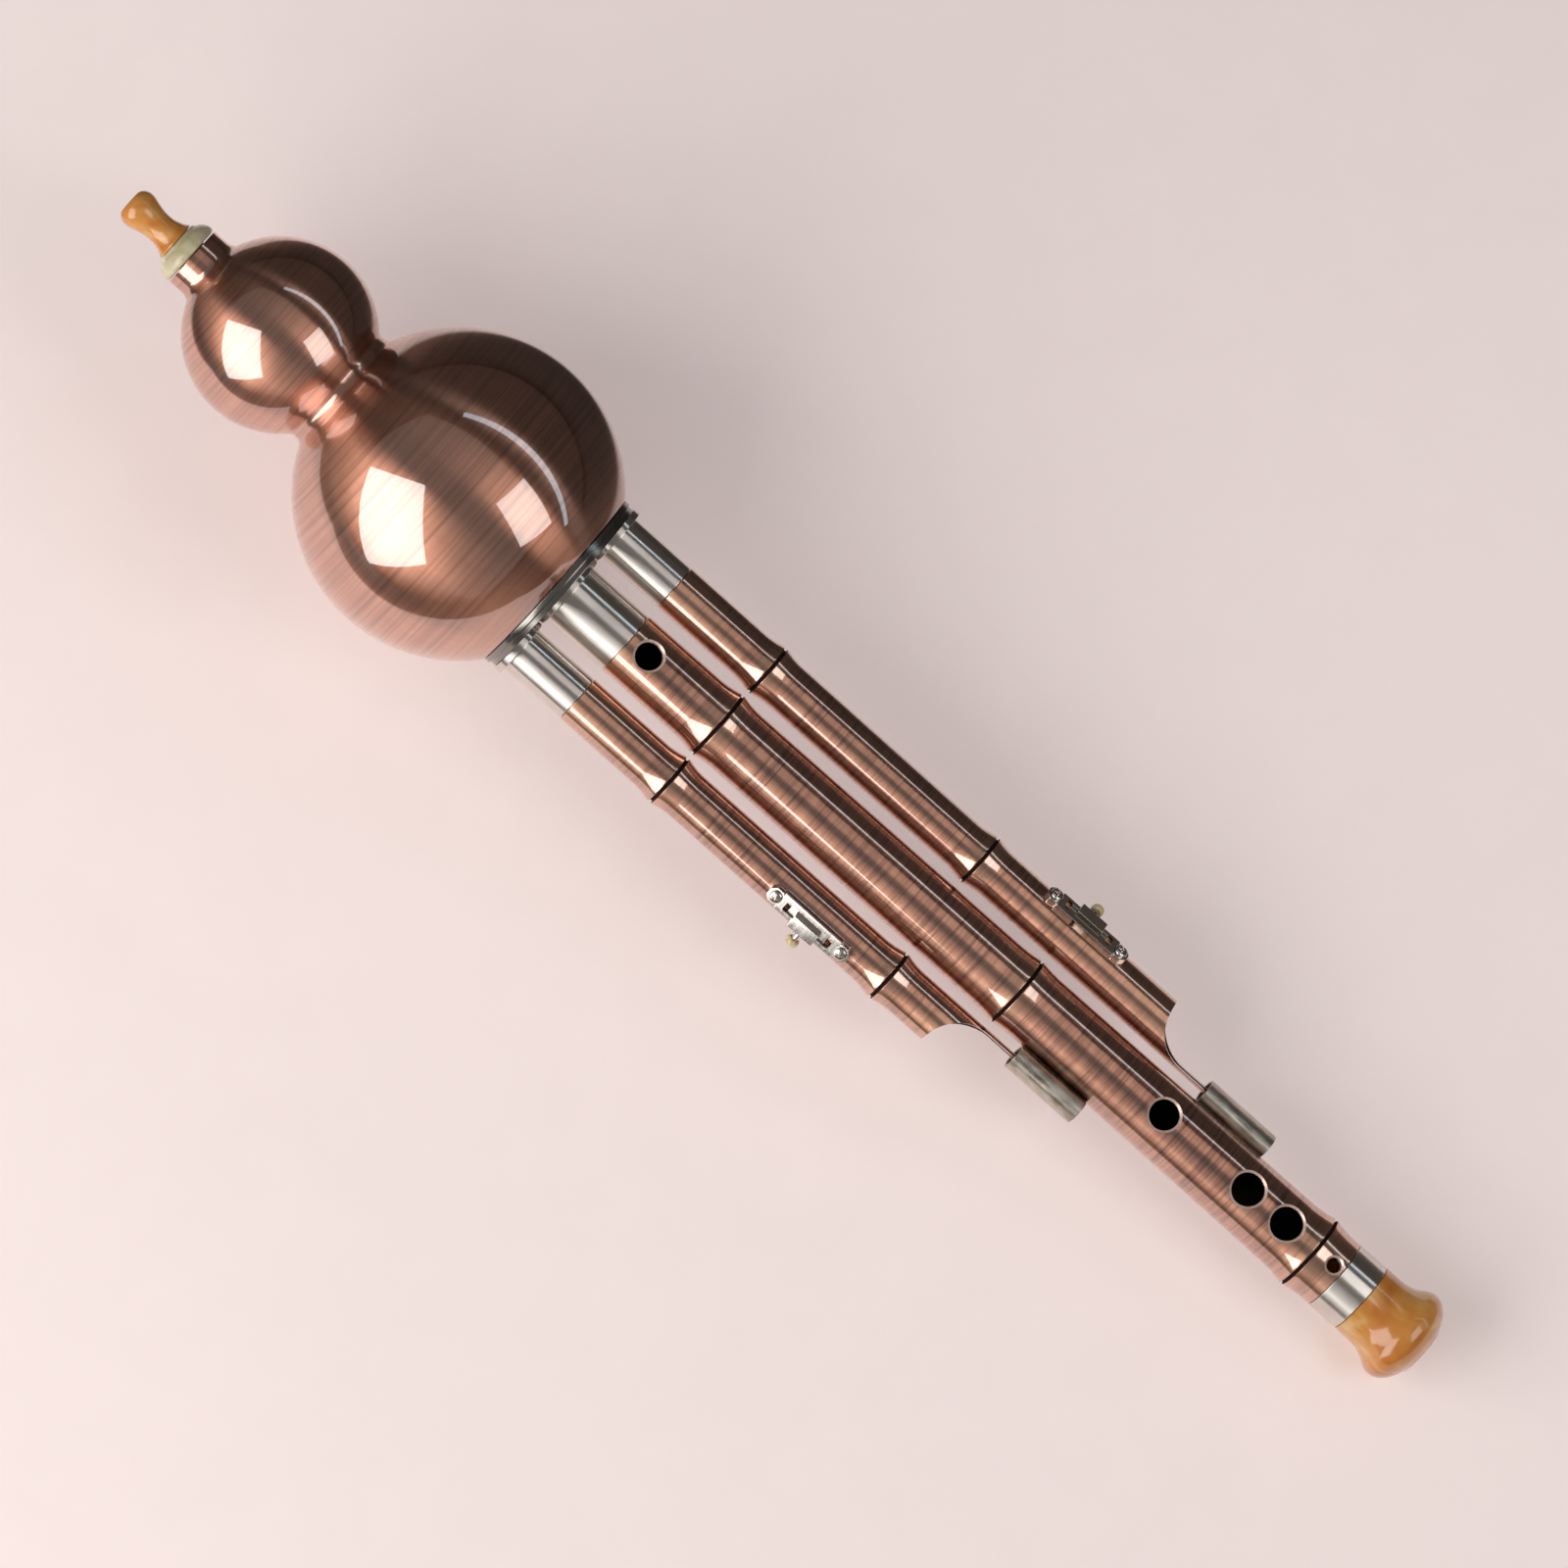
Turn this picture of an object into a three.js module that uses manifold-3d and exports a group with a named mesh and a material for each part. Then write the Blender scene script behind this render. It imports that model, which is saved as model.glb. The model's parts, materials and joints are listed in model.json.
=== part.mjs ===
// A hulusi: a gourd-shaped wind chamber that feeds three reed pipes. The middle pipe has the finger holes,
// and each of the two drones beside it has a small sliding lock that opens or shuts it.
// Every piece is placed along the axis of the middle pipe first: X runs from the tip of the mouthpiece to
// the bell, Y goes across to the long drone, and Z comes out of the back, where the thumb hole is.
// At the end the whole instrument is laid down on its large ball and its bell. Sizes are in millimetres.
import * as THREE from 'three';
import { mergeVertices } from 'three/addons/utils/BufferGeometryUtils.js';
import Module from 'manifold-3d';

const wasm = await Module();
wasm.setup();

// Clearances, and the reach of the shapes that cut or join
const seatGap = 0.3;
const fineGap = 0.15;
const overrun = 1;
const weld = 0.1;

// Number of flat sides round each kind of turned piece, and steps along its curves
const gourdSides = 28;
const mainSides = 20;
const droneSides = 16;
const smallSides = 14;
const holeSides = 12;
const screwSides = 10;
const outlineSteps = 11;

// Mouthpiece, with the horn ring at its foot
const mouthpiece = { length: 15, radius: 5, airHoleRadius: 1.6, tenonRadius: 4.4, tenonLength: 14 };
const mouthOutlineShares = [
  [0, 0.42], [0.07, 0.8], [0.22, 1], [0.37, 0.91], [0.52, 0.79], [0.68, 0.75], [0.83, 0.84], [1, 1.04],
];
const hornRing = { length: 5, radius: 8.35 };
const hornOutlineShares = [[0, 0.64], [0.16, 0.74], [0.36, 0.88], [0.58, 0.97], [0.8, 1], [1, 0.95]];
const mouthCorkLength = 9;

// Gourd: two spun balls that meet at the waist
const gourdWall = 1.2;
const neck = { radius: 8.2, filletRadius: 2.6 };
const smallBall = { radius: 24.4, fromNeck: 28.7 };
const largeBall = { radius: 41.2, fromSmall: 58.3 };
const waist = { filletRadius: 2.4, spigotLength: 4 };
const gourdLip = 2.3;
const ballSteps = { small: 10, large: 13, smallInside: 6, largeInside: 8 };
const filletSteps = 3;

// Flange that closes the gourd and carries the three collars
const flange = { rim: 1, step: 0.5, thickness: 3, stepThickness: 1.5, spigotLength: 3 };
const collar = { length: 20.2, wall: 0.85, footLength: 1.9, footWidth: 1.75 };

// Middle pipe
const mainPipe = { length: 233.3, startRadius: 8.7, endRadius: 9.6, wall: 1.1, flare: 6.2 };
const mainNodes = [
  { atShare: 0.1286, ridge: 0.78 },
  { atShare: 0.5504, ridge: 0.5 },
  { atShare: 0.964, ridge: 0.8 },
];
const groove = { width: 1, depth: 0.7 };
const flareOutlineShares = [[1, 0], [0.5, 0.24], [0.18, 0.72], [0, 1]];
const thumbHole = { atShare: 0.0257, radius: 3.5 };
const ventHoles = [
  { atShare: 0.7501, radius: 3.85 },
  { atShare: 0.8684, radius: 4.2 },
  { atShare: 0.9228, radius: 4.2 },
];
const cordHole = { atShare: 0.9892, radius: 1.9 };
const fingerHoleRadius = 3.75;
const fingerHoleShares = [0.0814, 0.18, 0.2786, 0.3858, 0.4843, 0.5958];

// Drones
const droneSpacing = 18.3;
const droneTube = { radius: 6.35, wall: 1, ridge: 0.85, flare: 5.6 };
const longDrone = {
  name: 'long', side: 1, length: 159.8, nodeShares: [0.1909, 0.6277], lockShare: 0.816, turn: 18,
};
const shortDrone = {
  name: 'short', side: -1, length: 118.3, nodeShares: [0.2536, 0.8622], lockShare: 0.6636, turn: -3.5,
};
const scoop = { length: 12, tongueLength: 24, tongueThickness: 1.15, steps: 7 };

// Sleeves on the middle pipe that the tongues of the drones slide through
const clip = { length: 21, overlap: 16.1, halfWidth: 3.3, wall: 0.6, slack: 0.95, steps: 10 };

// Tenons that join the pipes to the collars, with a cork ring in a groove
const tenon = { inCollar: 13, inMain: 13, inDrone: 18, mainWall: 1.4, droneWall: 1.3 };
const cork = { length: 7, thickness: 0.8, fromEnd: 2, gap: 0.2 };

// Reeds inside the gourd, each on a closed tube in a cork bush
const mainReed = { radius: 5.2, wall: 1.1, length: 42 };
const droneReed = { radius: 3.6, wall: 0.9, length: 34 };
const reedCap = 1.5;
const reedBushLength = 8;
const reedPlate = { thickness: 0.4, slit: 0.3, seatDepth: 0.6, margin: 0.25 };
const reedPlateLengthShare = 0.55;
const tongueLengthShare = 0.75;
const tongueRootShare = 0.6;
const tongueTipShare = 0.34;

// Slide lock of a drone, turned outwards from the back. Heights are above the surface of the drone.
const lockTurn = 37.5;
const lockPlate = { height: 1.95, thickness: 0.7, halfWidth: 2.65, skirt: 0.6, screwSpacing: 21 };
const lockEar = { halfWidth: 2.3, sides: 8 };
const lockWindow = { innerEdge: 1.2, outerEdge: 1.6, slack: 1.05 };
const lockRunner = { length: 11.8, sideGap: 0.2, travel: 2.4 };
const lockBlock = { length: 7.9, width: 3.6, thickness: 0.65, lipGap: 0.25, lip: 0.7, bevel: 0.3 };
const lockPad = { length: 5, width: 3.2, thickness: 0.37 };
const thumbStem = { radius: 0.9, height: 0.95, exposed: 2.1, seated: 1.2 };
const thumbButton = { radius: 1.75, length: 2.2 };
const thumbOutlineShares = [[0, 0.8], [0.18, 1], [0.62, 1], [0.86, 0.82], [1, 0.45]];
const soundHoleRadius = 1.5;
const screw = {
  headRadius: 1.7, headHeight: 0.8, shankRadius: 0.75, tip: 0.6, slotWidth: 0.42, slotLength: 2.2,
};
const screwCrownShares = [[0, 1], [0.5, 0.95], [0.82, 0.78], [1, 0.45]];
const slotDepthShare = 0.6;

// Tail
const tailCollar = { length: 8.6, radius: 9.7 };
const bell = { length: 19.9, radius: 12.95, spigotInPipe: 6, wall: 1.9, mouthRadius: 5.9, mouthDepth: 3 };
const bellOutlineShares = [
  [0, 0.76], [0.22, 0.762], [0.37, 0.785], [0.5, 0.87], [0.6, 0.97],
  [0.69, 1], [0.78, 0.975], [0.88, 0.86], [0.96, 0.69], [1, 0.55],
];

// Finishes
const copper = { color: 0x96644b, roughness: 0.3, metalness: 1 };
const chrome = { color: 0xc9c9c6, roughness: 0.12, metalness: 1 };
const satinSilver = { color: 0x9d9a90, roughness: 0.4, metalness: 1 };
const brass = { color: 0xc7a14e, roughness: 0.35, metalness: 1 };
const amber = { color: 0xdca055, roughness: 0.15, metalness: 0 };
const horn = { color: 0xd9cfa6, roughness: 0.3, metalness: 0 };
const corkBrown = { color: 0xb58a5c, roughness: 0.9, metalness: 0 };
const felt = { color: 0x3a3431, roughness: 1, metalness: 0 };

// Radii and places that follow from the sizes above
const mainBore = mainPipe.startRadius - mainPipe.wall;
const droneBore = droneTube.radius - droneTube.wall;
const mainFootRadius = mainBore + collar.wall + collar.footWidth;
const droneFootRadius = droneSpacing - mainFootRadius - seatGap;
const lipRadius = droneSpacing + droneBore + collar.wall + seatGap;
const mouthRadius = lipRadius + gourdLip;
const neckX = mouthpiece.length + hornRing.length + seatGap;
const smallBallX = neckX + smallBall.fromNeck;
const largeBallX = smallBallX + largeBall.fromSmall;
const gourdEndX = largeBallX + Math.sqrt(largeBall.radius ** 2 - mouthRadius ** 2);
const flangeX = gourdEndX + seatGap;
const flangeBackX = flangeX - flange.spigotLength;
const collarX = flangeX + flange.thickness + fineGap;
const pipeX = collarX + collar.length;
const pipeEndX = pipeX + mainPipe.length;
const tailCollarX = pipeEndX + fineGap;
const bellX = tailCollarX + tailCollar.length + fineGap;
const tenonX = pipeX - tenon.inCollar;
const reedEndX = tenonX - seatGap;
const tongueReach = scoop.length + scoop.tongueLength;
const tongueFloorY = scoop.tongueThickness - droneTube.radius;

// Joining and cutting

function solidOf(geometry) {
  const bare = geometry.clone();
  bare.deleteAttribute('normal');
  bare.deleteAttribute('uv');
  const merged = mergeVertices(bare);
  const vertProperties = merged.attributes.position.array;
  const triVerts = new Uint32Array(merged.index.array);
  return new wasm.Manifold(new wasm.Mesh({ numProp: 3, vertProperties, triVerts }));
}

function geometryOf(solid) {
  const { vertProperties, triVerts } = solid.getMesh();
  const geometry = new THREE.BufferGeometry();
  geometry.setAttribute('position', new THREE.BufferAttribute(vertProperties, 3));
  geometry.setIndex(new THREE.BufferAttribute(triVerts, 1));
  geometry.computeVertexNormals();
  return geometry;
}

function cut(geometry, ...tools) {
  return geometryOf(tools.reduce((solid, tool) => solid.subtract(solidOf(tool)), solidOf(geometry)));
}

function join(geometry, ...others) {
  return geometryOf(others.reduce((solid, other) => solid.add(solidOf(other)), solidOf(geometry)));
}

// Basic shapes

function latheOf(outline, sides) {
  const points = outline.map(([along, radius]) => new THREE.Vector2(radius, along));
  const startsOnAxis = points[0].x === 0;
  if (!startsOnAxis) points.push(points[0].clone());
  return new THREE.LatheGeometry(points, sides, Math.PI / sides);
}

// Turns an outline of [x, radius] points about the X axis, with flat sides facing front and back.
function turned(outline, sides) {
  return latheOf(outline, sides).rotateZ(-Math.PI / 2);
}

// Turns an outline of [z, radius] points about the Z axis.
function upright(outline, sides) {
  return latheOf(outline, sides).rotateX(Math.PI / 2);
}

function tube(startX, endX, radius, boreRadius, sides) {
  return turned([[startX, radius], [endX, radius], [endX, boreRadius], [startX, boreRadius]], sides);
}

function bar(startX, endX, radius, sides) {
  return turned([[startX, 0], [startX, radius], [endX, radius], [endX, 0]], sides);
}

// A rod along Z at a place on the X axis.
function rod(x, radius, fromZ, toZ, sides) {
  return upright([[fromZ, 0], [fromZ, radius], [toZ, radius], [toZ, 0]], sides).translate(x, 0, 0);
}

function box(fromX, toX, fromY, toY, fromZ, toZ) {
  return new THREE.BoxGeometry(toX - fromX, toY - fromY, toZ - fromZ)
    .translate((fromX + toX) / 2, (fromY + toY) / 2, (fromZ + toZ) / 2);
}

// Extrudes a shape that is drawn in Y and Z along X.
function extruded(shape, startX, length) {
  return new THREE.ExtrudeGeometry(shape, { depth: length, bevelEnabled: false, curveSegments: clip.steps })
    .rotateY(Math.PI / 2)
    .rotateX(Math.PI / 2)
    .translate(startX, 0, 0);
}

function shapeOf(points) {
  return new THREE.Shape(points.map(([x, y]) => new THREE.Vector2(x, y)));
}

// Points on a smooth curve through an outline that is given in shares of a length and a radius.
function smoothOutline(shares, startX, length, radius) {
  const points = shares.map(([along, out]) => new THREE.Vector2(startX + along * length, out * radius));
  return new THREE.SplineCurve(points).getPoints(outlineSteps).map(({ x, y }) => [x, y]);
}

// Points on an arc whose centre is at [x, height], from one angle to another.
function arc(x, height, radius, startAngle, endAngle, steps) {
  return Array.from({ length: steps + 1 }, (_, step) => {
    const angle = startAngle + ((endAngle - startAngle) * step) / steps;
    return [x + radius * Math.cos(angle), height + radius * Math.sin(angle)];
  });
}

function piece(name, geometry, finish) {
  const mesh = new THREE.Mesh(geometry, new THREE.MeshStandardMaterial(finish));
  mesh.name = name;
  return mesh;
}

function groupOf(...members) {
  const group = new THREE.Group();
  group.add(...members);
  return group;
}

// Mouthpiece

function mouthpieceBody() {
  const { length, radius, airHoleRadius, tenonRadius, tenonLength } = mouthpiece;
  const outside = smoothOutline(mouthOutlineShares, 0, length, radius);
  const endX = neckX + tenonLength;
  const tenonOutline = [
    [length, tenonRadius], [endX, tenonRadius], [endX, airHoleRadius], [0, airHoleRadius],
  ];
  return turned([...outside, ...tenonOutline], smallSides);
}

function hornRingBody() {
  const startX = mouthpiece.length + fineGap;
  const outside = smoothOutline(hornOutlineShares, startX, hornRing.length - fineGap, hornRing.radius);
  const endX = mouthpiece.length + hornRing.length;
  const boreRadius = mouthpiece.tenonRadius + fineGap;
  return turned([...outside, [endX, boreRadius], [startX, boreRadius]], smallSides);
}

function mouthCorkBody() {
  const endX = neckX + mouthpiece.tenonLength - seatGap;
  const radius = neck.radius - gourdWall - cork.gap;
  return tube(endX - mouthCorkLength, endX, radius, mouthpiece.tenonRadius + cork.gap, smallSides);
}

// Gourd

// Centre of the fillet between the two balls.
function waistCentre() {
  const fromSmall = smallBall.radius + waist.filletRadius;
  const fromLarge = largeBall.radius + waist.filletRadius;
  const gap = largeBall.fromSmall;
  const along = (gap ** 2 + fromSmall ** 2 - fromLarge ** 2) / (2 * gap);
  return { x: smallBallX + along, height: Math.sqrt(fromSmall ** 2 - along ** 2) };
}

// Centre of the fillet between the neck and the small ball.
function neckCentre() {
  const reach = smallBall.radius + neck.filletRadius;
  const height = neck.radius + neck.filletRadius;
  return { x: smallBallX - Math.sqrt(reach ** 2 - height ** 2), height };
}

const { x: waistX, height: waistHeight } = waistCentre();
const waistRadius = waistHeight - waist.filletRadius;

// Outline of the neck and the small ball, moved inwards by depth.
function smallBallOutline(depth, steps) {
  const centre = neckCentre();
  const neckAngle = Math.atan2(centre.height, smallBallX - centre.x);
  const waistAngle = Math.atan2(waistHeight, waistX - smallBallX);
  return [
    [neckX, neck.radius - depth],
    ...arc(centre.x, centre.height, neck.filletRadius + depth, -Math.PI / 2, -neckAngle, filletSteps),
    ...arc(smallBallX, 0, smallBall.radius - depth, Math.PI - neckAngle, waistAngle, steps).slice(1),
  ];
}

// Outline of the waist and the large ball up to endX, moved inwards by depth.
function largeBallOutline(depth, endX, steps) {
  const waistAngle = Math.atan2(waistHeight, waistX - largeBallX);
  const endAngle = Math.acos((endX - largeBallX) / (largeBall.radius - depth));
  const radius = waist.filletRadius + depth;
  const fillet = arc(waistX, waistHeight, radius, 1.5 * Math.PI, Math.PI + waistAngle, filletSteps);
  const ball = arc(largeBallX, 0, largeBall.radius - depth, waistAngle, endAngle, steps);
  return [...fillet.slice(1), ...ball.slice(1)];
}

function upperShellBody() {
  const seamX = waistX - fineGap;
  const spigotRadius = waistRadius - gourdWall - seatGap;
  const spigotEndX = waistX + waist.spigotLength;
  const waistAngle = Math.atan2(waistHeight, waistX - smallBallX);
  const radius = waist.filletRadius;
  const fillet = arc(waistX, waistHeight, radius, Math.PI + waistAngle, 1.5 * Math.PI, filletSteps);
  return turned([
    ...smallBallOutline(0, ballSteps.small),
    ...fillet.slice(1, -1),
    [seamX, waistRadius], [seamX, spigotRadius], [spigotEndX, spigotRadius],
    [spigotEndX, spigotRadius - gourdWall], [waistX, spigotRadius - gourdWall],
    ...smallBallOutline(gourdWall, ballSteps.smallInside).reverse(),
  ], gourdSides);
}

function lowerShellBody() {
  const seamX = waistX + fineGap;
  const lipX = gourdEndX - gourdWall;
  return turned([
    [seamX, waistRadius],
    ...largeBallOutline(0, gourdEndX, ballSteps.large),
    [gourdEndX, lipRadius], [lipX, lipRadius],
    ...largeBallOutline(gourdWall, lipX, ballSteps.largeInside).reverse(),
    [seamX, waistRadius - gourdWall],
  ], gourdSides);
}

// Flange, collars and reeds. The three voices are the middle pipe and the two drones.

const droneVoice = { bore: droneBore, footRadius: droneFootRadius, reed: droneReed, sides: droneSides };
const voices = [
  { name: 'main', y: 0, bore: mainBore, footRadius: mainFootRadius, reed: mainReed, sides: mainSides },
  { name: 'long', y: droneSpacing, ...droneVoice },
  { name: 'short', y: -droneSpacing, ...droneVoice },
];

function flangeBody() {
  const stepX = flangeX + flange.thickness - flange.stepThickness;
  const endX = flangeX + flange.thickness;
  const radius = lipRadius + flange.rim;
  const disc = turned([
    [flangeBackX, 0], [flangeBackX, lipRadius - seatGap], [flangeX, lipRadius - seatGap], [flangeX, radius],
    [stepX, radius], [stepX, radius - flange.step], [endX, radius - flange.step], [endX, 0],
  ], gourdSides);
  const bores = voices.map(({ y, bore, sides }) =>
    bar(flangeBackX - overrun, endX + overrun, bore + collar.wall + fineGap, sides).translate(0, y, 0));
  return cut(disc, ...bores);
}

function collarBody({ bore, footRadius, sides }) {
  const radius = bore + collar.wall;
  const footEndX = collarX + collar.footLength;
  const endX = pipeX - fineGap;
  return turned([
    [flangeBackX, radius], [collarX, radius], [collarX, footRadius], [footEndX, footRadius],
    [footEndX, radius], [endX, radius], [endX, bore], [flangeBackX, bore],
  ], sides);
}

// Sizes of a reed's plate and of the tongue that is cut free in it.
function reedSizes(reed) {
  const plateLength = reed.length * reedPlateLengthShare;
  const seatZ = reed.radius - reedPlate.seatDepth;
  const halfPlate = Math.sqrt(reed.radius ** 2 - seatZ ** 2) - reedPlate.margin;
  const tipX = reedEndX - reed.length + 2 * reedCap;
  return {
    plateLength,
    seatZ,
    halfPlate,
    tipX,
    rootX: tipX + plateLength * tongueLengthShare,
    halfRoot: halfPlate * tongueRootShare,
    halfTip: halfPlate * tongueTipShare,
  };
}

function reedTubeBody({ reed }) {
  const { plateLength, seatZ, tipX, rootX, halfRoot } = reedSizes(reed);
  const startX = reedEndX - reed.length;
  const capX = startX + reedCap;
  const shell = turned([
    [startX, 0], [startX, reed.radius], [reedEndX, reed.radius], [reedEndX, reed.radius - reed.wall],
    [capX, reed.radius - reed.wall], [capX, 0],
  ], smallSides);
  const aboveZ = reed.radius + overrun;
  const seatEndX = startX + plateLength + seatGap;
  const seat = box(startX - overrun, seatEndX, -reed.radius, reed.radius, seatZ, aboveZ);
  const opening = box(tipX, rootX, -halfRoot, halfRoot, 0, aboveZ);
  return cut(shell, seat, opening);
}

function reedPlateBody({ reed }) {
  const { plateLength, seatZ, halfPlate, tipX, rootX, halfRoot, halfTip } = reedSizes(reed);
  const { slit, thickness } = reedPlate;
  const startX = reedEndX - reed.length;
  const plateZ = seatZ + fineGap;
  const plate = box(startX, startX + plateLength, -halfPlate, halfPlate, plateZ, plateZ + thickness);
  const slitShape = shapeOf([
    [rootX, halfRoot], [tipX, halfTip + slit], [tipX, -halfTip - slit], [rootX, -halfRoot],
    [rootX, slit - halfRoot], [tipX + slit, -halfTip], [tipX + slit, halfTip], [rootX, halfRoot - slit],
  ]);
  const depth = thickness + 2 * overrun;
  const slitTool = new THREE.ExtrudeGeometry(slitShape, { depth, bevelEnabled: false });
  return cut(plate, slitTool.translate(0, 0, plateZ - overrun));
}

function reedBushBody({ bore, reed, sides }) {
  return tube(reedEndX - reedBushLength, reedEndX, bore - seatGap, reed.radius + seatGap, sides);
}

function voicePieces(voice) {
  const pieces = groupOf(
    piece(`${voice.name}_collar`, collarBody(voice), chrome),
    piece(`${voice.name}_reed_tube`, reedTubeBody(voice), copper),
    piece(`${voice.name}_reed_plate`, reedPlateBody(voice), brass),
    piece(`${voice.name}_reed_bush`, reedBushBody(voice), corkBrown),
  );
  pieces.position.y = voice.y;
  return pieces;
}

// Tenons

function tenonBody(boreRadius, wall, inPipe, sides) {
  const radius = boreRadius - seatGap;
  const endX = pipeX + inPipe;
  const grooveX = tenonX + cork.fromEnd;
  const grooveEndX = grooveX + cork.length + 2 * cork.gap;
  const floorRadius = boreRadius - cork.thickness - 2 * cork.gap;
  return turned([
    [tenonX, radius], [grooveX, radius], [grooveX, floorRadius], [grooveEndX, floorRadius],
    [grooveEndX, radius], [endX, radius], [endX, radius - wall], [tenonX, radius - wall],
  ], sides);
}

function tenonCorkBody(boreRadius, sides) {
  const startX = tenonX + cork.fromEnd + cork.gap;
  const radius = boreRadius - cork.gap;
  return tube(startX, startX + cork.length, radius, radius - cork.thickness, sides);
}

// Pipes

// Outline of a pipe shaped like bamboo: it flares to each node, where a narrow groove runs round.
function bambooOutline(startRadius, endRadius, length, nodes, flare) {
  const slope = (endRadius - startRadius) / length;
  const half = groove.width / 2;
  const point = (x, out) => [x, startRadius + slope * (x - pipeX) + out];
  const nodeOutline = ({ x, ridge }) => {
    const side = (direction) =>
      flareOutlineShares.map(([away, up]) => point(x + direction * (half + away * flare), up * ridge));
    const floor = ridge - groove.depth;
    return [...side(-1), point(x - half, floor), point(x + half, floor), ...side(1).reverse()];
  };
  return [point(pipeX, 0), ...nodes.flatMap(nodeOutline), point(pipeX + length, 0)];
}

// Outline of the middle pipe, moved outwards by clearance.
function mainOutline(clearance) {
  const { length, startRadius, endRadius, flare } = mainPipe;
  const nodes = mainNodes.map(({ atShare, ridge }) => ({ x: pipeX + atShare * length, ridge }));
  return bambooOutline(startRadius + clearance, endRadius + clearance, length, nodes, flare);
}

function backHoleTool({ atShare, radius }) {
  return rod(pipeX + atShare * mainPipe.length, radius, 0, bell.radius, holeSides);
}

function fingerHoleTool(atShare) {
  return rod(pipeX + atShare * mainPipe.length, fingerHoleRadius, -bell.radius, 0, holeSides);
}

function mainPipeBody() {
  const body = turned([...mainOutline(0), [pipeEndX, mainBore], [pipeX, mainBore]], mainSides);
  const backTools = [thumbHole, ...ventHoles, cordHole].map(backHoleTool);
  return cut(body, ...backTools, ...fingerHoleShares.map(fingerHoleTool));
}

function mainTenonBody() {
  return cut(tenonBody(mainBore, tenon.mainWall, tenon.inMain, mainSides), backHoleTool(thumbHole));
}

function tailCollarBody() {
  return tube(tailCollarX, tailCollarX + tailCollar.length, tailCollar.radius, mainBore, mainSides);
}

function bellBody() {
  const spigotX = pipeEndX - bell.spigotInPipe;
  const spigotRadius = mainBore - seatGap;
  const boreRadius = spigotRadius - bell.wall;
  const endX = bellX + bell.length;
  const body = turned([
    [spigotX, spigotRadius], [bellX, spigotRadius],
    ...smoothOutline(bellOutlineShares, bellX, bell.length, bell.radius),
    [endX, bell.mouthRadius], [endX - bell.mouthDepth, boreRadius], [spigotX, boreRadius],
  ], mainSides);
  return cut(body, backHoleTool(cordHole));
}

// Drones. Both are drawn for the long drone's side, about the drone's own axis, and placeDrone mirrors
// the short one.

function droneOutline(drone, clearance) {
  const { ridge, flare } = droneTube;
  const radius = droneTube.radius + clearance;
  const nodes = drone.nodeShares.map((share) => ({ x: pipeX + share * drone.length, ridge }));
  return bambooOutline(radius, radius, drone.length + tongueReach, nodes, flare);
}

// A quarter ellipse that leaves a thin tongue on the side of the middle pipe.
function scoopTool(drone) {
  const startX = pipeX + drone.length;
  const farX = startX + tongueReach + overrun;
  const outerY = droneTube.radius + overrun;
  const drop = droneTube.radius - tongueFloorY;
  const curve = Array.from({ length: scoop.steps + 1 }, (_, step) => {
    const angle = (Math.PI / 2) * (step / scoop.steps);
    return [startX + scoop.length * (1 - Math.cos(angle)), droneTube.radius - drop * Math.sin(angle)];
  });
  const shape = shapeOf([[startX, outerY], ...curve, [farX, tongueFloorY], [farX, outerY]]);
  return new THREE.ExtrudeGeometry(shape, { depth: 2 * outerY, bevelEnabled: false })
    .translate(0, 0, -outerY)
    .rotateX(THREE.MathUtils.degToRad(drone.turn));
}

function lockX(drone) {
  return pipeX + drone.lockShare * drone.length;
}

function lockHoleTools(drone) {
  const reach = droneTube.radius + overrun;
  const half = lockPlate.screwSpacing / 2;
  const tools = [
    rod(lockX(drone) - lockRunner.travel, soundHoleRadius, 0, reach, holeSides),
    rod(lockX(drone) - half, screw.shankRadius + fineGap, 0, reach, screwSides),
    rod(lockX(drone) + half, screw.shankRadius + fineGap, 0, reach, screwSides),
  ];
  return tools.map((tool) => tool.rotateX(-THREE.MathUtils.degToRad(lockTurn)));
}

function dronePipeBody(drone) {
  const endX = pipeX + drone.length + tongueReach;
  const body = turned([...droneOutline(drone, 0), [endX, droneBore], [pipeX, droneBore]], droneSides);
  return cut(body, scoopTool(drone), ...lockHoleTools(drone));
}

function placeDrone(drone, ...pieces) {
  const group = groupOf(...pieces);
  group.position.y = drone.side * droneSpacing;
  group.scale.y = drone.side;
  return group;
}

function clipEllipse(halfWidth, halfHeight) {
  const tongueY = tongueFloorY - scoop.tongueThickness / 2;
  return new THREE.Shape().absellipse(tongueY, 0, halfWidth, halfHeight, 0, 2 * Math.PI, false, 0);
}

function clipBody(drone) {
  const startX = pipeX + drone.length + tongueReach - clip.overlap;
  const innerHalfHeight = Math.sqrt(droneTube.radius ** 2 - tongueFloorY ** 2) + clip.slack;
  const turn = THREE.MathUtils.degToRad(drone.turn);
  const outside = extruded(clipEllipse(clip.halfWidth, innerHalfHeight + clip.wall), startX, clip.length);
  const insideShape = clipEllipse(clip.halfWidth - clip.wall, innerHalfHeight);
  const inside = extruded(insideShape, startX - overrun, clip.length + 2 * overrun);
  const seat = turned([[pipeX, 0], ...mainOutline(fineGap), [pipeEndX, 0]], mainSides);
  return cut(outside.rotateX(turn), inside.rotateX(turn), seat.translate(0, -droneSpacing, 0));
}

// Slide lock, drawn upright over the drone's axis with its thumb button on the +Y side

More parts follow.
